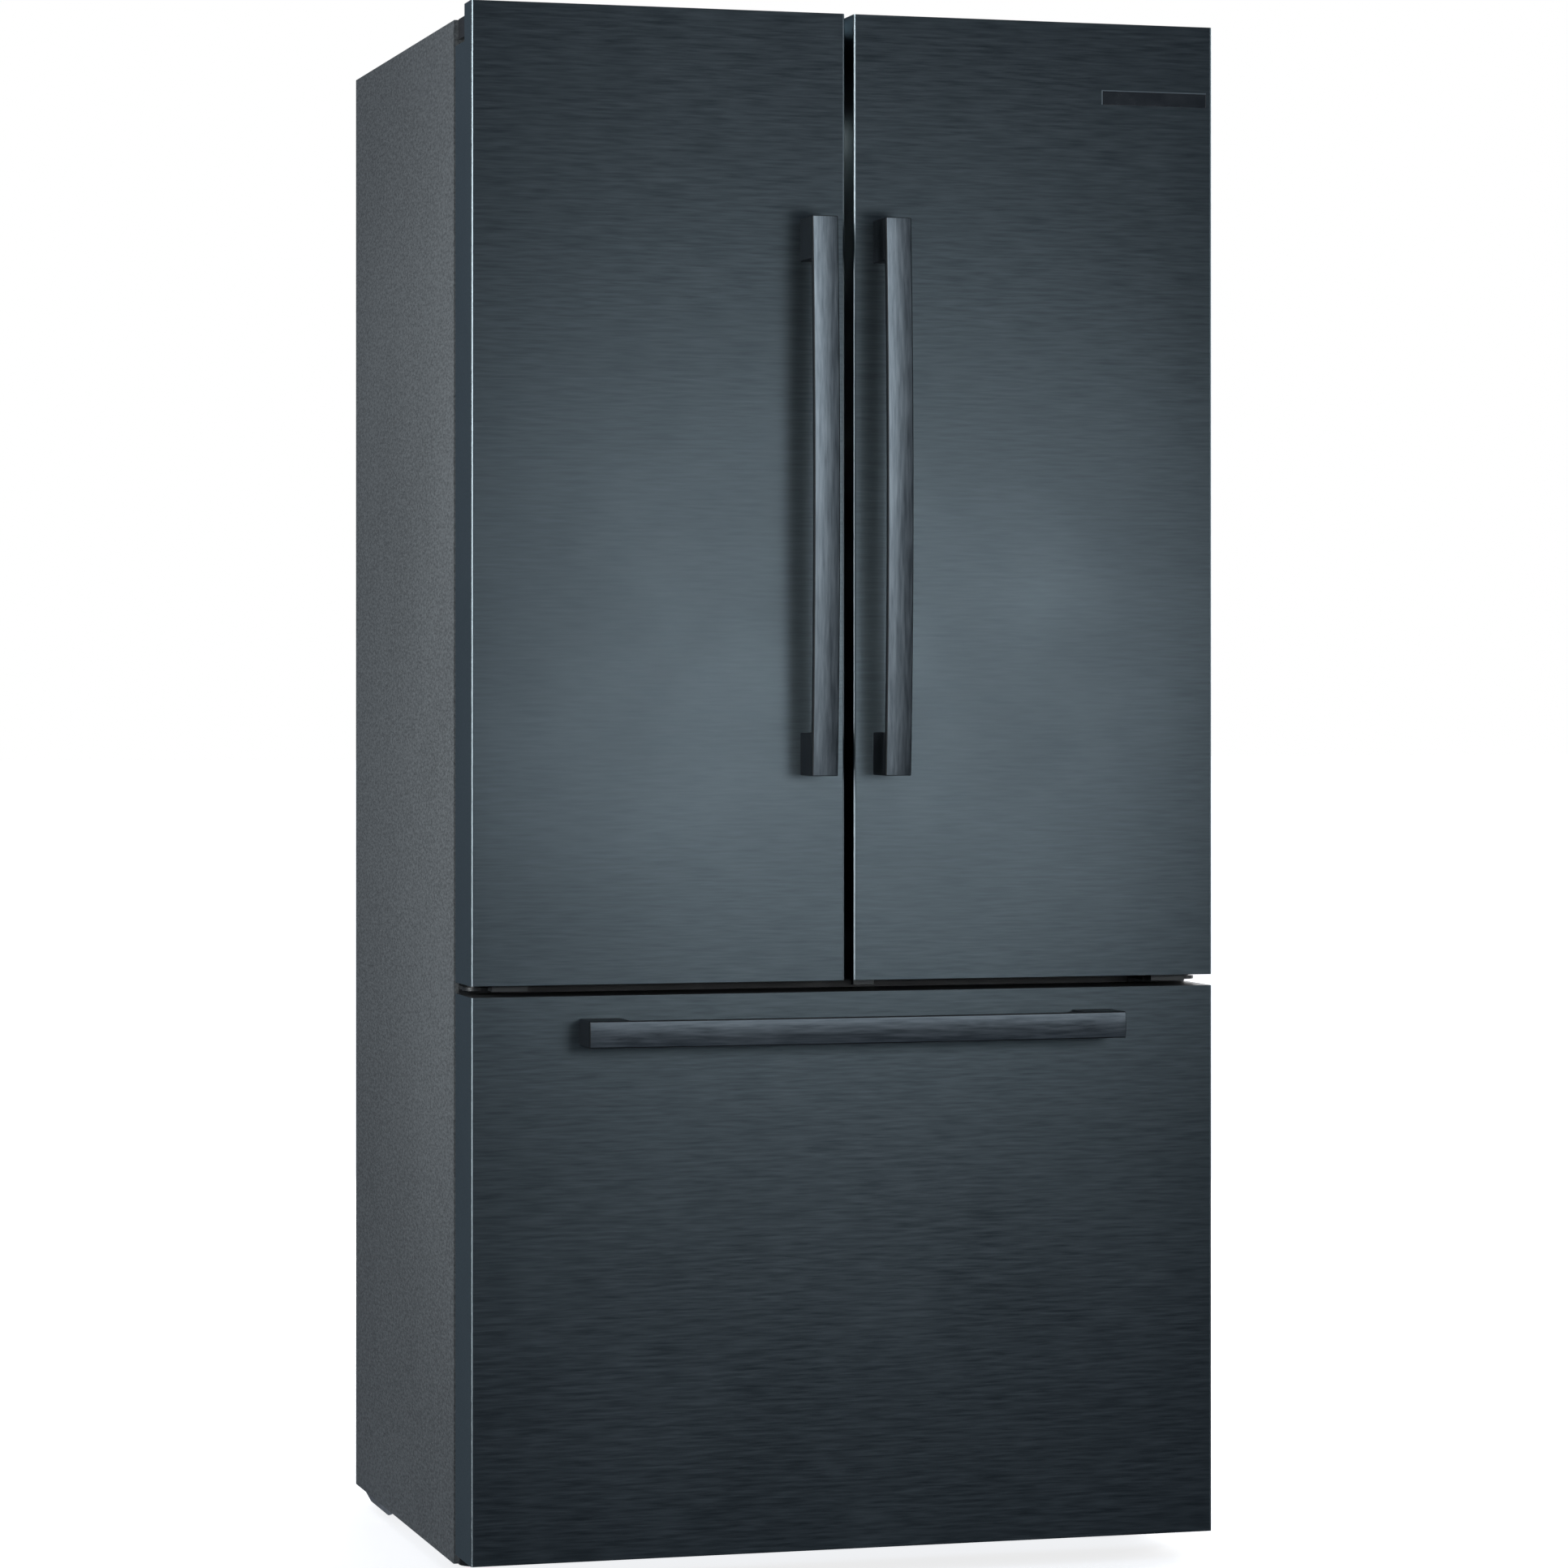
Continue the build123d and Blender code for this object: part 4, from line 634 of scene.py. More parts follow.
def hinge_covers():
    """Plastic cover of each top hinge: a round nose in the door's notch and a low box behind it."""
    lo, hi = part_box("hinge_covers")
    top_of_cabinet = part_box("cabinet_wrap")[1].z
    pin_y, lip = depth(PIN_DEPTH), NOSE_LIP
    nose_top = top_of_cabinet + 1.2 * MM
    rim = nose_top - lip * 0.3
    levels = [(lo.z, 0.0), (nose_top - lip, 0.0), (rim, lip * 0.3), (nose_top, lip)]
    shape = bmesh.new()
    for side in (-1, 1):
        outline = [(NOSE_INNER * side, depth(NOSE_BACK)), (NOSE_INNER * side, pin_y)]
        curve = arc(0, 0, NOSE_R, 180, 270, 10)[1:] + arc(0, 0, NOSE_R, 270, 321, 5)[1:]
        outline += [(side * (PIN_X + u), pin_y + v) for u, v in curve]
        outline += [(side * NOSE_OUTER, pin_y - 8 * MM), (side * NOSE_OUTER, depth(NOSE_BACK))]
        centre = Vector((side * 431 * MM, depth(72 * MM)))
        rings = []
        for z, inset in levels:
            ring = []
            for x, y in outline:
                away = (Vector((x, y)) - centre).normalized() * inset
                ring.append((x - away.x, y - away.y, z))
            rings.append(ring)
        bridge(shape, rings, cap_start=True, cap_end=True)
        z = (top_of_cabinet, hi.z)
        block(shape, mm(side * 352, side * 432), deep(92, 190), z, 3 * MM, 4)
        block(shape, mm(side * 386, side * 432), deep(80, 100), z, 2 * MM, 3)
        screw_at = (side * 372 * MM, depth(160 * MM), hi.z - 0.9 * MM)
        turned(shape, [mm(*point) for point in COVER_SCREW], screw_at, steps=24)
    add_piece("hinge_cover_mouldings", shape, "black_plastic", "cabinet", ["hinge_covers"])


def blank_plate():
    lo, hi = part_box("name_plate")
    shape = bmesh.new()
    block(shape, (lo.x, hi.x), (lo.y, hi.y), (lo.z, hi.z), 0.3 * MM, 3)
    add_piece("blank_plate", shape, "plate_gloss", "right_door", ["name_plate"])


def centre_stop():
    """Small grey buffer on the crossmember, under the inner corner of the right door."""
    drawer_top, door_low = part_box("drawer_skin")[1].z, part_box("right_door_skin")[0].z
    shape = bmesh.new()
    middle = (drawer_top + door_low) / 2
    z = (middle - 4.5 * MM, middle + 1.5 * MM)
    block(shape, mm(31, 57), deep(88, 96), z, 1 * MM)
    add_piece("centre_stop", shape, "trim_plastic", "cabinet", looks=["stop_plastic"])


front_skin("left_door_skin", "left_door", -1)
front_skin("right_door_skin", "right_door", 1)
front_skin("drawer_skin", "freezer_drawer", 0)
for hand in HANDS:
    handle_bar(f"{hand}_handle_bar", f"{hand}_door", "Z")
    handle_mounts(f"{hand}_handle_mounts", f"{hand}_door", "Z")
handle_bar("drawer_handle_bar", "freezer_drawer", "X")
handle_mounts("drawer_handle_mounts", "freezer_drawer", "X")
hinge_covers()
blank_plate()
centre_stop()


# ---- Pieces that keep a CAD node's shape and gain rounded edges ----
BODY = {node: body for body, group in frame["record"]["behaviour"]["bodies"].items() for node in group}
SLOT = {part["node"]: part["material_slot"] for part in frame["record"]["subparts"]}


HARD_EDGE = math.radians(38)
LONG_EDGE = 0.25


def softened(node, radius, inner=0.0, look=None, segments=2):
    """The node's own shape with every hard edge rounded, and its long inside corners rounded more."""
    shape = bmesh.new()
    shape.from_mesh(nodes[node].data)
    bmesh.ops.remove_doubles(shape, verts=shape.verts, dist=SAME)
    bmesh.ops.join_triangles(
        shape, faces=shape.faces, angle_face_threshold=0.01, angle_shape_threshold=3.1
    )
    weight = shape.edges.layers.float.new("bevel_weight_edge")
    width = max(radius, inner)
    for edge in shape.edges:
        if len(edge.link_faces) != 2 or edge.calc_face_angle() < HARD_EDGE:
            continue
        inside = inner and not edge.is_convex and edge.calc_length() > LONG_EDGE
        edge[weight] = (inner if inside else radius) / width
    looks = [look or SLOT[node]]
    piece = add_piece(f"{node}_form", shape, SLOT[node], BODY[node], [node], looks, 180, False)
    rim = piece.modifiers.new("rim", "BEVEL")
    rim.width, rim.segments, rim.limit_method = width, segments, "WEIGHT"
    rim.use_clamp_overlap = inner == 0
    piece.modifiers.new("flat faces", "WEIGHTED_NORMAL")


def soften_nodes():
    """Radii in millimetres for the nodes that keep their CAD shape and gain rounded edges."""
    for node, radius in (
        ("cabinet_wrap", 1.2), ("crossmember", 0.6), ("hinge_brackets", 0.35), ("control_console", 1.2),
        ("air_duct", 0.8), ("flap_bar", 0.6), ("evaporator_cover", 0.8), ("compressor_base", 0.4),
        ("base_pan", 0.5), ("back_panel", 0.4), ("mains_inlet", 0.5), ("shelf_panes", 0.7),
        ("shelf_frames", 1.0), ("drawer_outer_rails", 0.4), ("drawer_middle_rails", 0.4),
        ("drawer_inner_rails", 0.4), ("left_foot", 0.5), ("right_foot", 0.5),
    ):
        softened(node, radius * MM)
    for door in ("left_door", "right_door", "drawer"):
        softened(f"{door}_caps", 0.35 * MM, look="door_caps")
        softened(f"{door}_liner", 1.6 * MM, 5 * MM, segments=4)
    softened("freezer_liner", 1.0 * MM, 8 * MM, segments=5)


# ---- Tubs, bins and gaskets ----
TUB_LIP, RIM_DEPTH, RIM_RUNOUT, TURN = 0.6 * MM, 6 * MM, 9 * MM, 22.5


def open_tub(shape, x, y, z, wall, corner, front_wall=None, rim=0.0, draft=0.0, foot=4 * MM):
    """Moulded open box: rounded corners, a rounded foot and a thicker rim. y is (front, back)."""
    front_wall = front_wall or wall
    x, (y0, y1), (z0, z1) = sorted(x), y, z

    def ring(inset, front_extra, level, radius):
        spread_y = (y0 + inset + front_extra, y1 - inset)
        return rounded_ring("XY", (x[0] + inset, x[1] - inset), spread_y, max(radius, 1 * MM), level, 6)

    rings = []
    for k in range(5):
        turn = math.radians(TURN * k)
        inset = foot * (1 - math.sin(turn)) + draft
        rings.append(ring(inset, 0, z0 + foot * (1 - math.cos(turn)), corner - inset * 0.5))
    lip = TUB_LIP
    rings += [ring(0, 0, z1 - lip, corner), ring(lip * 0.3, 0, z1 - lip * 0.3, corner)]
    rings.append(ring(lip, 0, z1, corner))
    thick = max(wall, rim)
    more = front_wall - wall
    rings += [ring(thick - lip, more, z1, corner - thick), ring(thick, more, z1 - lip, corner - thick)]
    if rim > wall:
        rings.append(ring(rim, more, z1 - RIM_DEPTH, corner - rim))
        rings.append(ring(wall, more, z1 - RIM_RUNOUT, corner - wall))
    for k in range(5):
        turn = math.radians(90 - TURN * k)
        inset = wall + draft + (foot - wall * 0.5) * (1 - math.sin(turn))
        level = z0 + wall + (foot - wall * 0.5) * (1 - math.cos(turn))
        rings.append(ring(inset, more, level, corner - inset))
    bridge(shape, rings, cap_start=True, cap_end=True)


BIN_LEVELS = mm(790, 1150, 1500)
BIN_HIGH, BIN_RAIL_LOW, BIN_RAIL_HIGH, BIN_RAIL_IN, BIN_RAIL_R = mm(95, 84, 120, 9, 12)


def door_bins(hand):
    """Three clear bins, each with a raised retaining rail along its inner side."""
    node = f"{hand}_door_bins"
    lo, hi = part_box(node)
    shape = bmesh.new()
    for level in BIN_LEVELS:
        z = (level, level + BIN_HIGH)
        open_tub(shape, (lo.x, hi.x), (lo.y, hi.y), z, 2.2 * MM, 10 * MM, None, 3.6 * MM, 1.5 * MM)
        rail_x = (lo.x + BIN_RAIL_IN, hi.x - BIN_RAIL_IN)
        rail_z = (level + BIN_RAIL_LOW, level + BIN_RAIL_HIGH)
        steps = ((hi.y - 3.4 * MM, 0.8), (hi.y - 2.6 * MM, 0.0), (hi.y - 0.8 * MM, 0.0), (hi.y, 0.8))
        rings = []
        for y, inset in steps:
            gap = inset * MM
            spans = [(span[0] + gap, span[1] - gap) for span in (rail_x, rail_z)]
            rings.append(rounded_ring("XZ", *spans, BIN_RAIL_R, y, 8))
        bridge(shape, rings, cap_start=True, cap_end=True)
    add_piece(f"{node}_moulded", shape, "clear_plastic", f"{hand}_door", [node])


def section_bar(shape, section, x):
    """A bar of constant section along X; the section is (y, z) points."""
    bridge(shape, [[(at, y, z) for y, z in section] for at in x], cap_start=True, cap_end=True)


GRIP_REACH, GRIP_DROP, GRIP_END = mm(12, 13, 40)


def crisper(hand):
    """Clear drawer with a grip lip along its front."""
    node = f"{hand}_crisper"
    lo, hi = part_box(node)
    shape = bmesh.new()
    x, y, z = (lo.x, hi.x), (lo.y + GRIP_REACH, hi.y), (lo.z, hi.z)
    open_tub(shape, x, y, z, *mm(2.2, 15, 3.6, 3.8, 2, 6))
    front, top = lo.y, hi.z - GRIP_DROP
    grip = [(front + 13 * MM, top), *arc(front + 3 * MM, top - 3 * MM, 3 * MM, 90, 180, 6)]
    grip += [*arc(front + 1.2 * MM, top - 15.8 * MM, 1.2 * MM, 180, 360, 6)]
    grip += [*reversed(arc(front + 5 * MM, top - 5.6 * MM, 2.6 * MM, 90, 180, 5))]
    grip += [(front + 13 * MM, top - 3 * MM)]
    section_bar(shape, grip, (lo.x + GRIP_END, hi.x - GRIP_END))
    add_piece(f"{node}_moulded", shape, "clear_plastic", BODY[node], [node])


WING, WING_THICK = mm(15, 3)
RIB_COUNT, RIB_START, RIB_PITCH, RIB_HALF = 9, *mm(70, 72.5, 3)


def freezer_boxes():
    """The deep basket that hangs on the inner rails, and the shallow tray above it."""
    lo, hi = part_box("freezer_basket")
    shape = bmesh.new()
    x, y, z = (lo.x + WING, hi.x - WING), (lo.y, hi.y), (lo.z, hi.z)
    open_tub(shape, x, y, z, 2.6 * MM, 18 * MM, None, 5 * MM, 4 * MM, 9 * MM)
    for side in (-1, 1):
        x = (side * 358 * MM, side * hi.x)
        block(shape, x, deep(125, 405), (hi.z - WING_THICK, hi.z), 1.2 * MM)
    rib_z = (lo.z + 24 * MM, hi.z - 30 * MM)
    for k in range(RIB_COUNT):
        at = lo.x + WING + RIB_START + k * RIB_PITCH
        for y in (lo.y + 4 * MM, hi.y - 4 * MM):
            rib_y = (y - 1.2 * MM, y + 1.2 * MM)
            block(shape, (at - RIB_HALF, at + RIB_HALF), rib_y, rib_z, 1.1 * MM, 2)
    add_piece("freezer_basket_moulded", shape, "clear_plastic", "freezer_drawer", ["freezer_basket"])

    lo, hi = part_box("freezer_tray")
    shape = bmesh.new()
    front = depth(110 * MM)
    x, y, z = (lo.x, hi.x), (front, hi.y), (lo.z, hi.z)
    open_tub(shape, x, y, z, 2.2 * MM, 15 * MM, None, 4 * MM, 2 * MM, 6 * MM)
    block(shape, mm(-60, 60), (lo.y, front + 2 * MM), mm(496, 500), 1.6 * MM)
    add_piece("freezer_tray_moulded", shape, "clear_plastic", "sliding_tray", ["freezer_tray"])


# Section of a seal in millimetres: distance in from its outer edge, and depth.
GASKET = (
    (0, 87.0), (0, 88.4), (1.2, 89.6), (2.8, 89.8), (2.4, 91.6), (3.0, 94.4), (4.4, 95.7), (8.0, 95.7),
    (9.0, 94.7), (10.0, 95.7), (13.6, 95.7), (15.0, 94.4), (15.6, 91.6), (15.2, 89.8), (16.8, 89.6),
    (18.0, 88.4), (18.0, 87.0),
)
GASKET_CORNER = 22 * MM


def gasket(door, body):
    """Soft magnetic seal: a flat base and a rounded tube with a fold line."""
    node = f"{door}_gasket"
    lo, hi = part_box(node)
    rings = []
    for inset, back in GASKET:
        inset *= MM
        x, z = (lo.x + inset, hi.x - inset), (lo.z + inset, hi.z - inset)
        radius = max(GASKET_CORNER - inset, 2 * MM)
        rings.append(rounded_ring("XZ", x, z, radius, depth(back * MM), 6))
    shape = bmesh.new()
    bridge(shape, rings, loop=True)
    add_piece(f"{node}_seal", shape, "gasket_rubber", body, [node], crease=50)


# ---- Fridge interior ----
TUB_HALF, TUB_FLOOR, TUB_CEILING, TUB_WALL = mm(404.5, 744, 1755, 2)
SHELF_LEVELS = (935, 1130, 1330, 1530)


def fridge_tub():
    """Moulded liner: a flange round the opening, a rounded lip and rounded corners to the back."""
    lo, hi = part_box("fridge_liner")
    half, floor, ceiling = TUB_HALF, TUB_FLOOR, TUB_CEILING
    front, rear = lo.y, hi.y - TUB_WALL
    lip, corner, back_corner = mm(3, 14, 22)
    rings = [rounded_ring("XZ", (lo.x, hi.x), (lo.z, hi.z), 1 * MM, front, 8)]
    for k in range(5):
        turn = math.radians(90 * k / 4)
        grow = lip * (1 - math.sin(turn))
        spans = (-half - grow, half + grow), (floor - grow, ceiling + grow)
        rings.append(rounded_ring("XZ", *spans, corner, front + lip * (1 - math.cos(turn)), 8))
    for k in range(9):
        turn = math.radians(90 * k / 8)
        grow = -back_corner * (1 - math.cos(turn))
        spans = (-half - grow, half + grow), (floor - grow, ceiling + grow)
        radius = max(corner + grow * 0.5, 3 * MM)
        rings.append(rounded_ring("XZ", *spans, radius, rear - back_corner * (1 - math.sin(turn)), 8))
    shape = bmesh.new()
    bridge(shape, rings, cap_end=True)
    liner = ["fridge_liner"]
    piece = add_piece("fridge_tub", shape, "liner_plastic", "cabinet", liner, None, 50, False)
    wall = piece.modifiers.new("wall", "SOLIDIFY")
    wall.thickness, wall.offset = TUB_WALL, -1.0
    wall.use_even_offset = True
    piece.modifiers.new("flat faces", "WEIGHTED_NORMAL")

    shape = bmesh.new()
    for level in SHELF_LEVELS:
        for side in (-1, 1):
            x, z = mm(side * 392, side * 405.5), mm(level - 20, level - 8)
            block(shape, x, deep(205, 618), z, 3 * MM, 4)
    add_piece("shelf_ledges", shape, "liner_plastic", "cabinet")


LENS_RIBS = 23


def lamp():
    """Ribbed lens in the recess of the ceiling console."""
    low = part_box("control_console")[0]
    shape = bmesh.new()
    lens_z = (low.z + 1.2 * MM, low.z + 5.5 * MM)
    block(shape, mm(-148, 148), deep(272, 368), lens_z, 1 * MM)
    for k in range(LENS_RIBS):
        at = (-132 + 12 * k) * MM
        rib_z = (low.z + 0.2 * MM, low.z + 2 * MM)
        block(shape, (at - 2 * MM, at + 2 * MM), deep(280, 360), rib_z, 0.8 * MM, 2)
    add_piece("lamp_lens", shape, "console_plastic", "cabinet", looks=["lamp_lens"])


# ---- Machine compartment ----
def pipe(name, points, radius):
    """A bent copper tube through a few points."""
    curve = bpy.data.curves.new(name, "CURVE")
    curve.dimensions = "3D"
    curve.bevel_depth, curve.bevel_resolution = radius, 4
    curve.use_fill_caps = True
    curve.resolution_u = 8
    line = curve.splines.new("NURBS")
    line.points.add(len(points) - 1)
    for point, (x, back, z) in zip(line.points, points):
        point.co = (x * MM, depth(back * MM), z * MM, 1.0)
    line.order_u, line.use_endpoint_u = 3, True
    curve.materials.append(materials["copper"])
    piece = placed(name, curve)
    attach(piece, "cabinet")


# Turned outlines in millimetres: (radius, height).
POT = (
    (0, 38), (40, 38.5), (60, 42), (70, 50), (75, 62), (76, 76), (76, 100), (78.6, 101), (79, 103),
    (78.6, 105), (75, 106), (74.5, 124), (72, 138), (66, 151), (56, 162), (42, 170.5), (24, 175),
    (0, 176),
)
RUBBER_FOOT = (
    (0, 0), (11, 0), (13, 1), (13, 4), (10, 6), (10, 8), (12, 9.5), (12, 12), (9, 13), (9, 15.5),
    (0, 15.5),
)
BOLT = ((0, 15.5), (4.6, 15.5), (4.6, 19), (4.0, 19.6), (0, 19.8))
# Pipes in millimetres: (x, depth, z), with each pipe's radius.
PIPES = {
    "suction_pipe": (4, (
        (290, 556, 128), (304, 545, 128), (330, 520, 128), (352, 520, 150), (352, 520, 236),
    )),
    "discharge_pipe": (2.6, (
        (172, 560, 122), (150, 540, 122), (120, 528, 122), (40, 522, 150), (-60, 518, 190),
        (-140, 520, 212), (-160, 528, 206), (-165, 536, 196),
    )),
    "process_pipe": (2.6, ((268, 648, 120), (276, 664, 120), (290, 672, 124), (320, 672, 132))),
}


def compressor_unit():
    """Domed welded pot with a seam, on a pressed foot plate with rubber feet and a relay box."""
    lo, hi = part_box("compressor")
    centre_x, centre_y = 235 * MM, depth(590 * MM)
    shape = bmesh.new()
    turned(shape, [mm(*point) for point in POT], (centre_x, centre_y, 0), 64, False)
    bmesh.ops.remove_doubles(shape, verts=shape.verts, dist=0.2 * MM)
    plate_x, plate_y = (lo.x + 2 * MM, hi.x - 2 * MM), (lo.y + 24 * MM, hi.y - 24 * MM)
    block(shape, plate_x, plate_y, (lo.z + 13 * MM, lo.z + 17 * MM), 1.5 * MM)
    relay_y = (centre_y - 25 * MM, centre_y + 25 * MM)
    block(shape, (lo.x, lo.x + 34 * MM), relay_y, mm(80, 132), 5 * MM, 4)
    for side in (-1, 1):
        for end in (-1, 1):
            at = (centre_x + side * 84 * MM, centre_y + end * 38 * MM, lo.z)
            turned(shape, [mm(*point) for point in RUBBER_FOOT], at, 28, False)
            turned(shape, [mm(*point) for point in BOLT], at, 6, False)
    bmesh.ops.remove_doubles(shape, verts=shape.verts, dist=0.12 * MM)
    add_piece("compressor_unit", shape, "black_steel", "cabinet", ["compressor"], crease=40)
    for name, (radius, points) in PIPES.items():
        pipe(name, points, radius * MM)


def drip_tray():
    """Shallow black tray over the condenser, where the thaw water dries off."""
    shape = bmesh.new()
    x, y, z = mm(-372, -148), deep(530, 652), mm(209, 238)
    open_tub(shape, x, y, z, 1.8 * MM, 14 * MM, None, 4 * MM, 3 * MM, 5 * MM)
    add_piece("drip_tray", shape, "black_plastic", "cabinet")


soften_nodes()
for hand in HANDS:
    door_bins(hand)
    crisper(hand)
    gasket(f"{hand}_door", f"{hand}_door")
gasket("drawer", "freezer_drawer")
freezer_boxes()
fridge_tub()
lamp()
compressor_unit()
drip_tray()


# ---- Camera, light and floor ----
FOCAL_LENGTH, FILM_WIDTH, FILM_SHIFT = 114.28, 36.0, -0.06496
CAMERA_AT = (-1.660, FACE_Y - 5.5924, 1.0469)
CAMERA_TURN = (math.radians(90), 0, math.radians(-15.781))


def add_camera():
    """Level camera in front and to the left, with its film moved down."""
    data = bpy.data.cameras.new("camera")
    data.lens, data.sensor_width, data.shift_y = FOCAL_LENGTH, FILM_WIDTH, FILM_SHIFT
    camera = placed("camera", data)
    camera.location, camera.rotation_euler = CAMERA_AT, CAMERA_TURN
    bpy.context.scene.camera = camera


def softbox(name, place, aim, width, height, watts, tint):
    """A rectangular lamp that isn't seen itself."""
    data = bpy.data.lights.new(name, "AREA")
    data.shape = "RECTANGLE"
    data.size, data.size_y = width, height
    data.energy = watts
    data.color = tint
    light = placed(name, data)
    light.location = place
    light.rotation_euler = (Vector(aim) - Vector(place)).to_track_quat("-Z", "Y").to_euler()
    light.visible_camera = False
    return light


COOL, PLAIN = (0.94, 0.98, 1.0), (1.0, 1.0, 1.0)
BAND = ((0.57, -2.35, 1.06), (0.0, FACE_Y, 1.06), 1.12, 0.5)
# Name, what it lights, place, aim, width and height in metres, watts and tint.
LIGHTS = (
    ("front_band", "others", *BAND, 8.8, COOL),
    ("front_band_unshaded", "others", *BAND, 2.6, COOL),
    ("right_front", "others", (4.2, -3.0, 1.5), (0.3, FACE_Y, 1.0), 1.8, 2.4, 52, COOL),
    ("left_strip", "fronts", (-2.8, -0.9, 1.1), (-0.45, 0, 1.1), 0.4, 2.6, 44, COOL),
    ("left_far", "fronts", (-2.0, 4.0, 0.9), (-0.45, FACE_Y, 0.9), 1.0, 4.4, 3.4, COOL),
    ("side_strip", "sides", (-2.0, -0.9, 1.15), (-0.45, 0.1, 1.1), 0.4, 0.7, 37, COOL),
    ("right_wall", "all", (3.4, 1.4, 1.6), (0.45, 0.2, 1.0), 1.6, 2.4, 50, PLAIN),
    ("rear_wall", "all", (1.2, 4.0, 1.6), (0, 0.3, 1.0), 2.6, 2.4, 70, PLAIN),
    ("ceiling", "all", (0.0, 0.6, 3.8), (0, 0.1, 0.9), 2.4, 2.0, 16, PLAIN),
    ("front_key", "fronts", (-2.1, -2.7, 2.0), (0, FACE_Y, 1.2), 1.0, 1.8, 104, COOL),
    ("bar_band", "upright", (-0.2, -2.5, 1.75), (0, FACE_Y, 1.2), 1.1, 1.0, 17, COOL),
    ("bar_fill", "upright", (-0.2, -2.5, 0.95), (0, FACE_Y, 1.2), 1.1, 1.0, 9, COOL),
    ("drawer_key", "lying", (1.0, -2.3, 1.7), (0.2, FACE_Y, 0.64), 3.0, 1.0, 39, COOL),
    ("inside_fill", "fittings", (0.4, -3.4, 2.3), (0, 0, 0.9), 2.6, 2.0, 95, PLAIN),
)
INSIDE_LOOKS = (
    "liner_plastic", "clear_plastic", "shelf_glass", "trim_plastic", "console_plastic",
    "rail_steel", "fin_aluminium", "foam", "galvanised",
)


def group_of(name, items):
    group = bpy.data.collections.new(name)
    for item in items:
        group.objects.link(item)
    return group


def only_for(light, chosen, shaded_by):
    """The light falls on the chosen objects; if shaded_by is given, only those throw its shadows."""
    light.light_linking.receiver_collection = group_of(f"{light.name}_receivers", chosen)
    if shaded_by is not None:
        light.light_linking.blocker_collection = group_of(f"{light.name}_blockers", shaded_by)
        light.data.cycles.use_multiple_importance_sampling = False


def add_lights():
    """The lights of the table above, each kept to the objects that it's meant for."""
    shown = [item for item in bpy.data.objects if item.type in ("MESH", "CURVE")]
    bars = [item for item in shown if item.name.endswith("handle_bar_piece")]
    lying = [item for item in bars if item.name.startswith("drawer")]
    upright = [item for item in bars if item not in lying]
    fronts = bars + [item for item in shown if item.name.endswith("skin_sheet")]
    others = [item for item in shown if item not in bars]
    sides = [item for item in shown if item not in fronts]
    behind_bars = [item for item in others if not item.name.endswith("handle_mounts_piece")]
    inside = {materials[name] for name in INSIDE_LOOKS}
    fittings = [item for item in shown if inside & set(item.data.materials)]
    groups = {"others": others, "fronts": fronts, "sides": sides, "upright": upright}
    groups.update({"lying": lying, "fittings": fittings})
    for name, lit, *settings in LIGHTS:
        light = softbox(name, *settings)
        if lit != "all":
            shaded_by = behind_bars if name.endswith("unshaded") else None
            only_for(light, groups[lit], shaded_by)


# How brightly the room glows in each direction: (sine of the elevation, strength).
ROOM_GRADE = ((-1.0, 0.3), (-0.55, 0.26), (-0.3, 0.06), (0.1, 0.11), (0.5, 0.22), (1.0, 0.28))


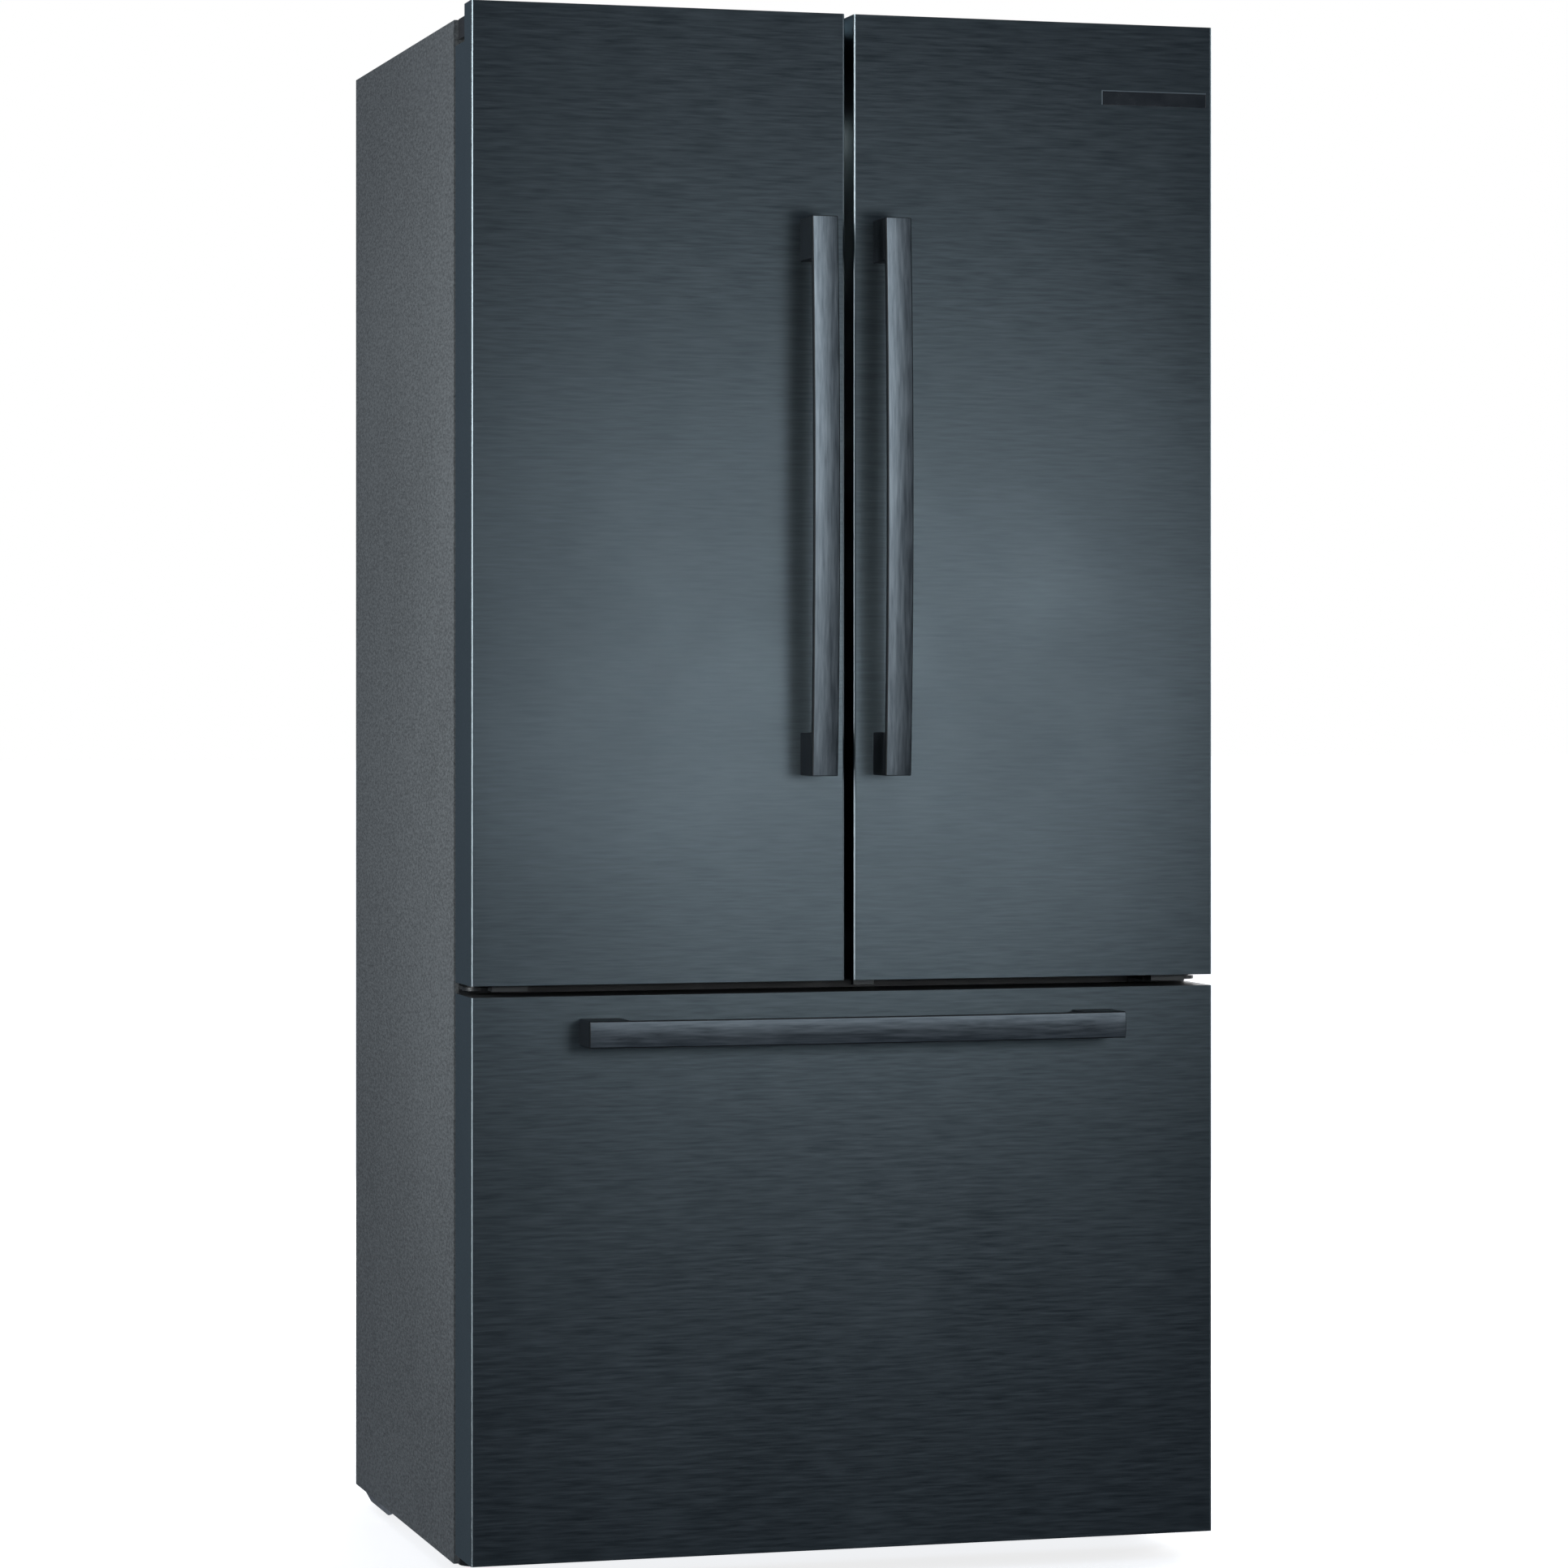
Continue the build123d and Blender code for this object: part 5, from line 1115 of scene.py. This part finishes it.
def add_world():
    """White to the eye; for light and reflections, a dim room with a pale ceiling and floor."""
    world = bpy.data.worlds.new("room")
    world.use_nodes = True
    tree = world.node_tree
    out = tree.nodes["World Output"]
    room = tree.nodes["Background"]
    direction = tree.nodes.new("ShaderNodeTexCoord").outputs["Generated"]
    split = tree.nodes.new("ShaderNodeSeparateXYZ")
    tree.links.new(direction, split.inputs["Vector"])
    height = tree.nodes.new("ShaderNodeMapRange")
    height.inputs["From Min"].default_value = -1.0
    tree.links.new(split.outputs["Z"], height.inputs["Value"])
    grade = tree.nodes.new("ShaderNodeValToRGB")
    ramp = grade.color_ramp
    while len(ramp.elements) < len(ROOM_GRADE):
        ramp.elements.new(0.5)
    for stop, (level, glow) in zip(ramp.elements, ROOM_GRADE):
        stop.position = (level + 1) / 2
        stop.color = (glow, glow, glow, 1.0)
    tree.links.new(height.outputs["Result"], grade.inputs["Fac"])
    tree.links.new(grade.outputs["Color"], room.inputs["Strength"])
    room.inputs["Color"].default_value = (0.8, 0.92, 1.14, 1.0)
    paper = tree.nodes.new("ShaderNodeBackground")
    paper.inputs["Color"].default_value = (1.0, 1.0, 1.0, 1.0)
    choose = tree.nodes.new("ShaderNodeMixShader")
    tree.links.new(tree.nodes.new("ShaderNodeLightPath").outputs["Is Camera Ray"], choose.inputs["Fac"])
    tree.links.new(room.outputs["Background"], choose.inputs[1])
    tree.links.new(paper.outputs["Background"], choose.inputs[2])
    tree.links.new(choose.outputs["Shader"], out.inputs["Surface"])
    bpy.context.scene.world = world
    bpy.context.scene.view_settings.view_transform = "Standard"


FLOOR_REACH, FLOOR_DROP = 60.0, 0.0002


def add_floor():
    """Pale matte floor, wide enough to meet the white background."""
    mesh = bpy.data.meshes.new("floor")
    reach = FLOOR_REACH
    corners = [(-reach, -reach, 0), (reach, -reach, 0), (reach, reach, 0), (-reach, reach, 0)]
    mesh.from_pydata(corners, [], [(0, 1, 2, 3)])
    floor = placed("floor", mesh)
    floor.location.z = -FLOOR_DROP
    look = Look("floor")
    cloud = look.noise((1.5, 1.5, 1.5), 3, 0.5)
    far = look.add("ShaderNodeVectorMath", operation="LENGTH")
    look.wire(look.place, far.inputs[0])
    glow = look.spread(far.outputs["Value"], 1.0, 5.0, 0.8, 1.0)
    look.wire(glow, look.shader.inputs["Emission Strength"])
    look.colour(look.mix(look.spread(cloud, 0.3, 0.7), (0.86, 0.86, 0.86), (0.9, 0.9, 0.9)))
    look.shader.inputs["Emission Color"].default_value = (1.0, 1.0, 1.0, 1.0)
    look.rough(look.spread(cloud, 0.3, 0.7, 0.7, 0.85))
    mesh.materials.append(look.material)
    floor.visible_glossy = False
    floor.visible_diffuse = False


add_camera()
add_world()
add_lights()
add_floor()
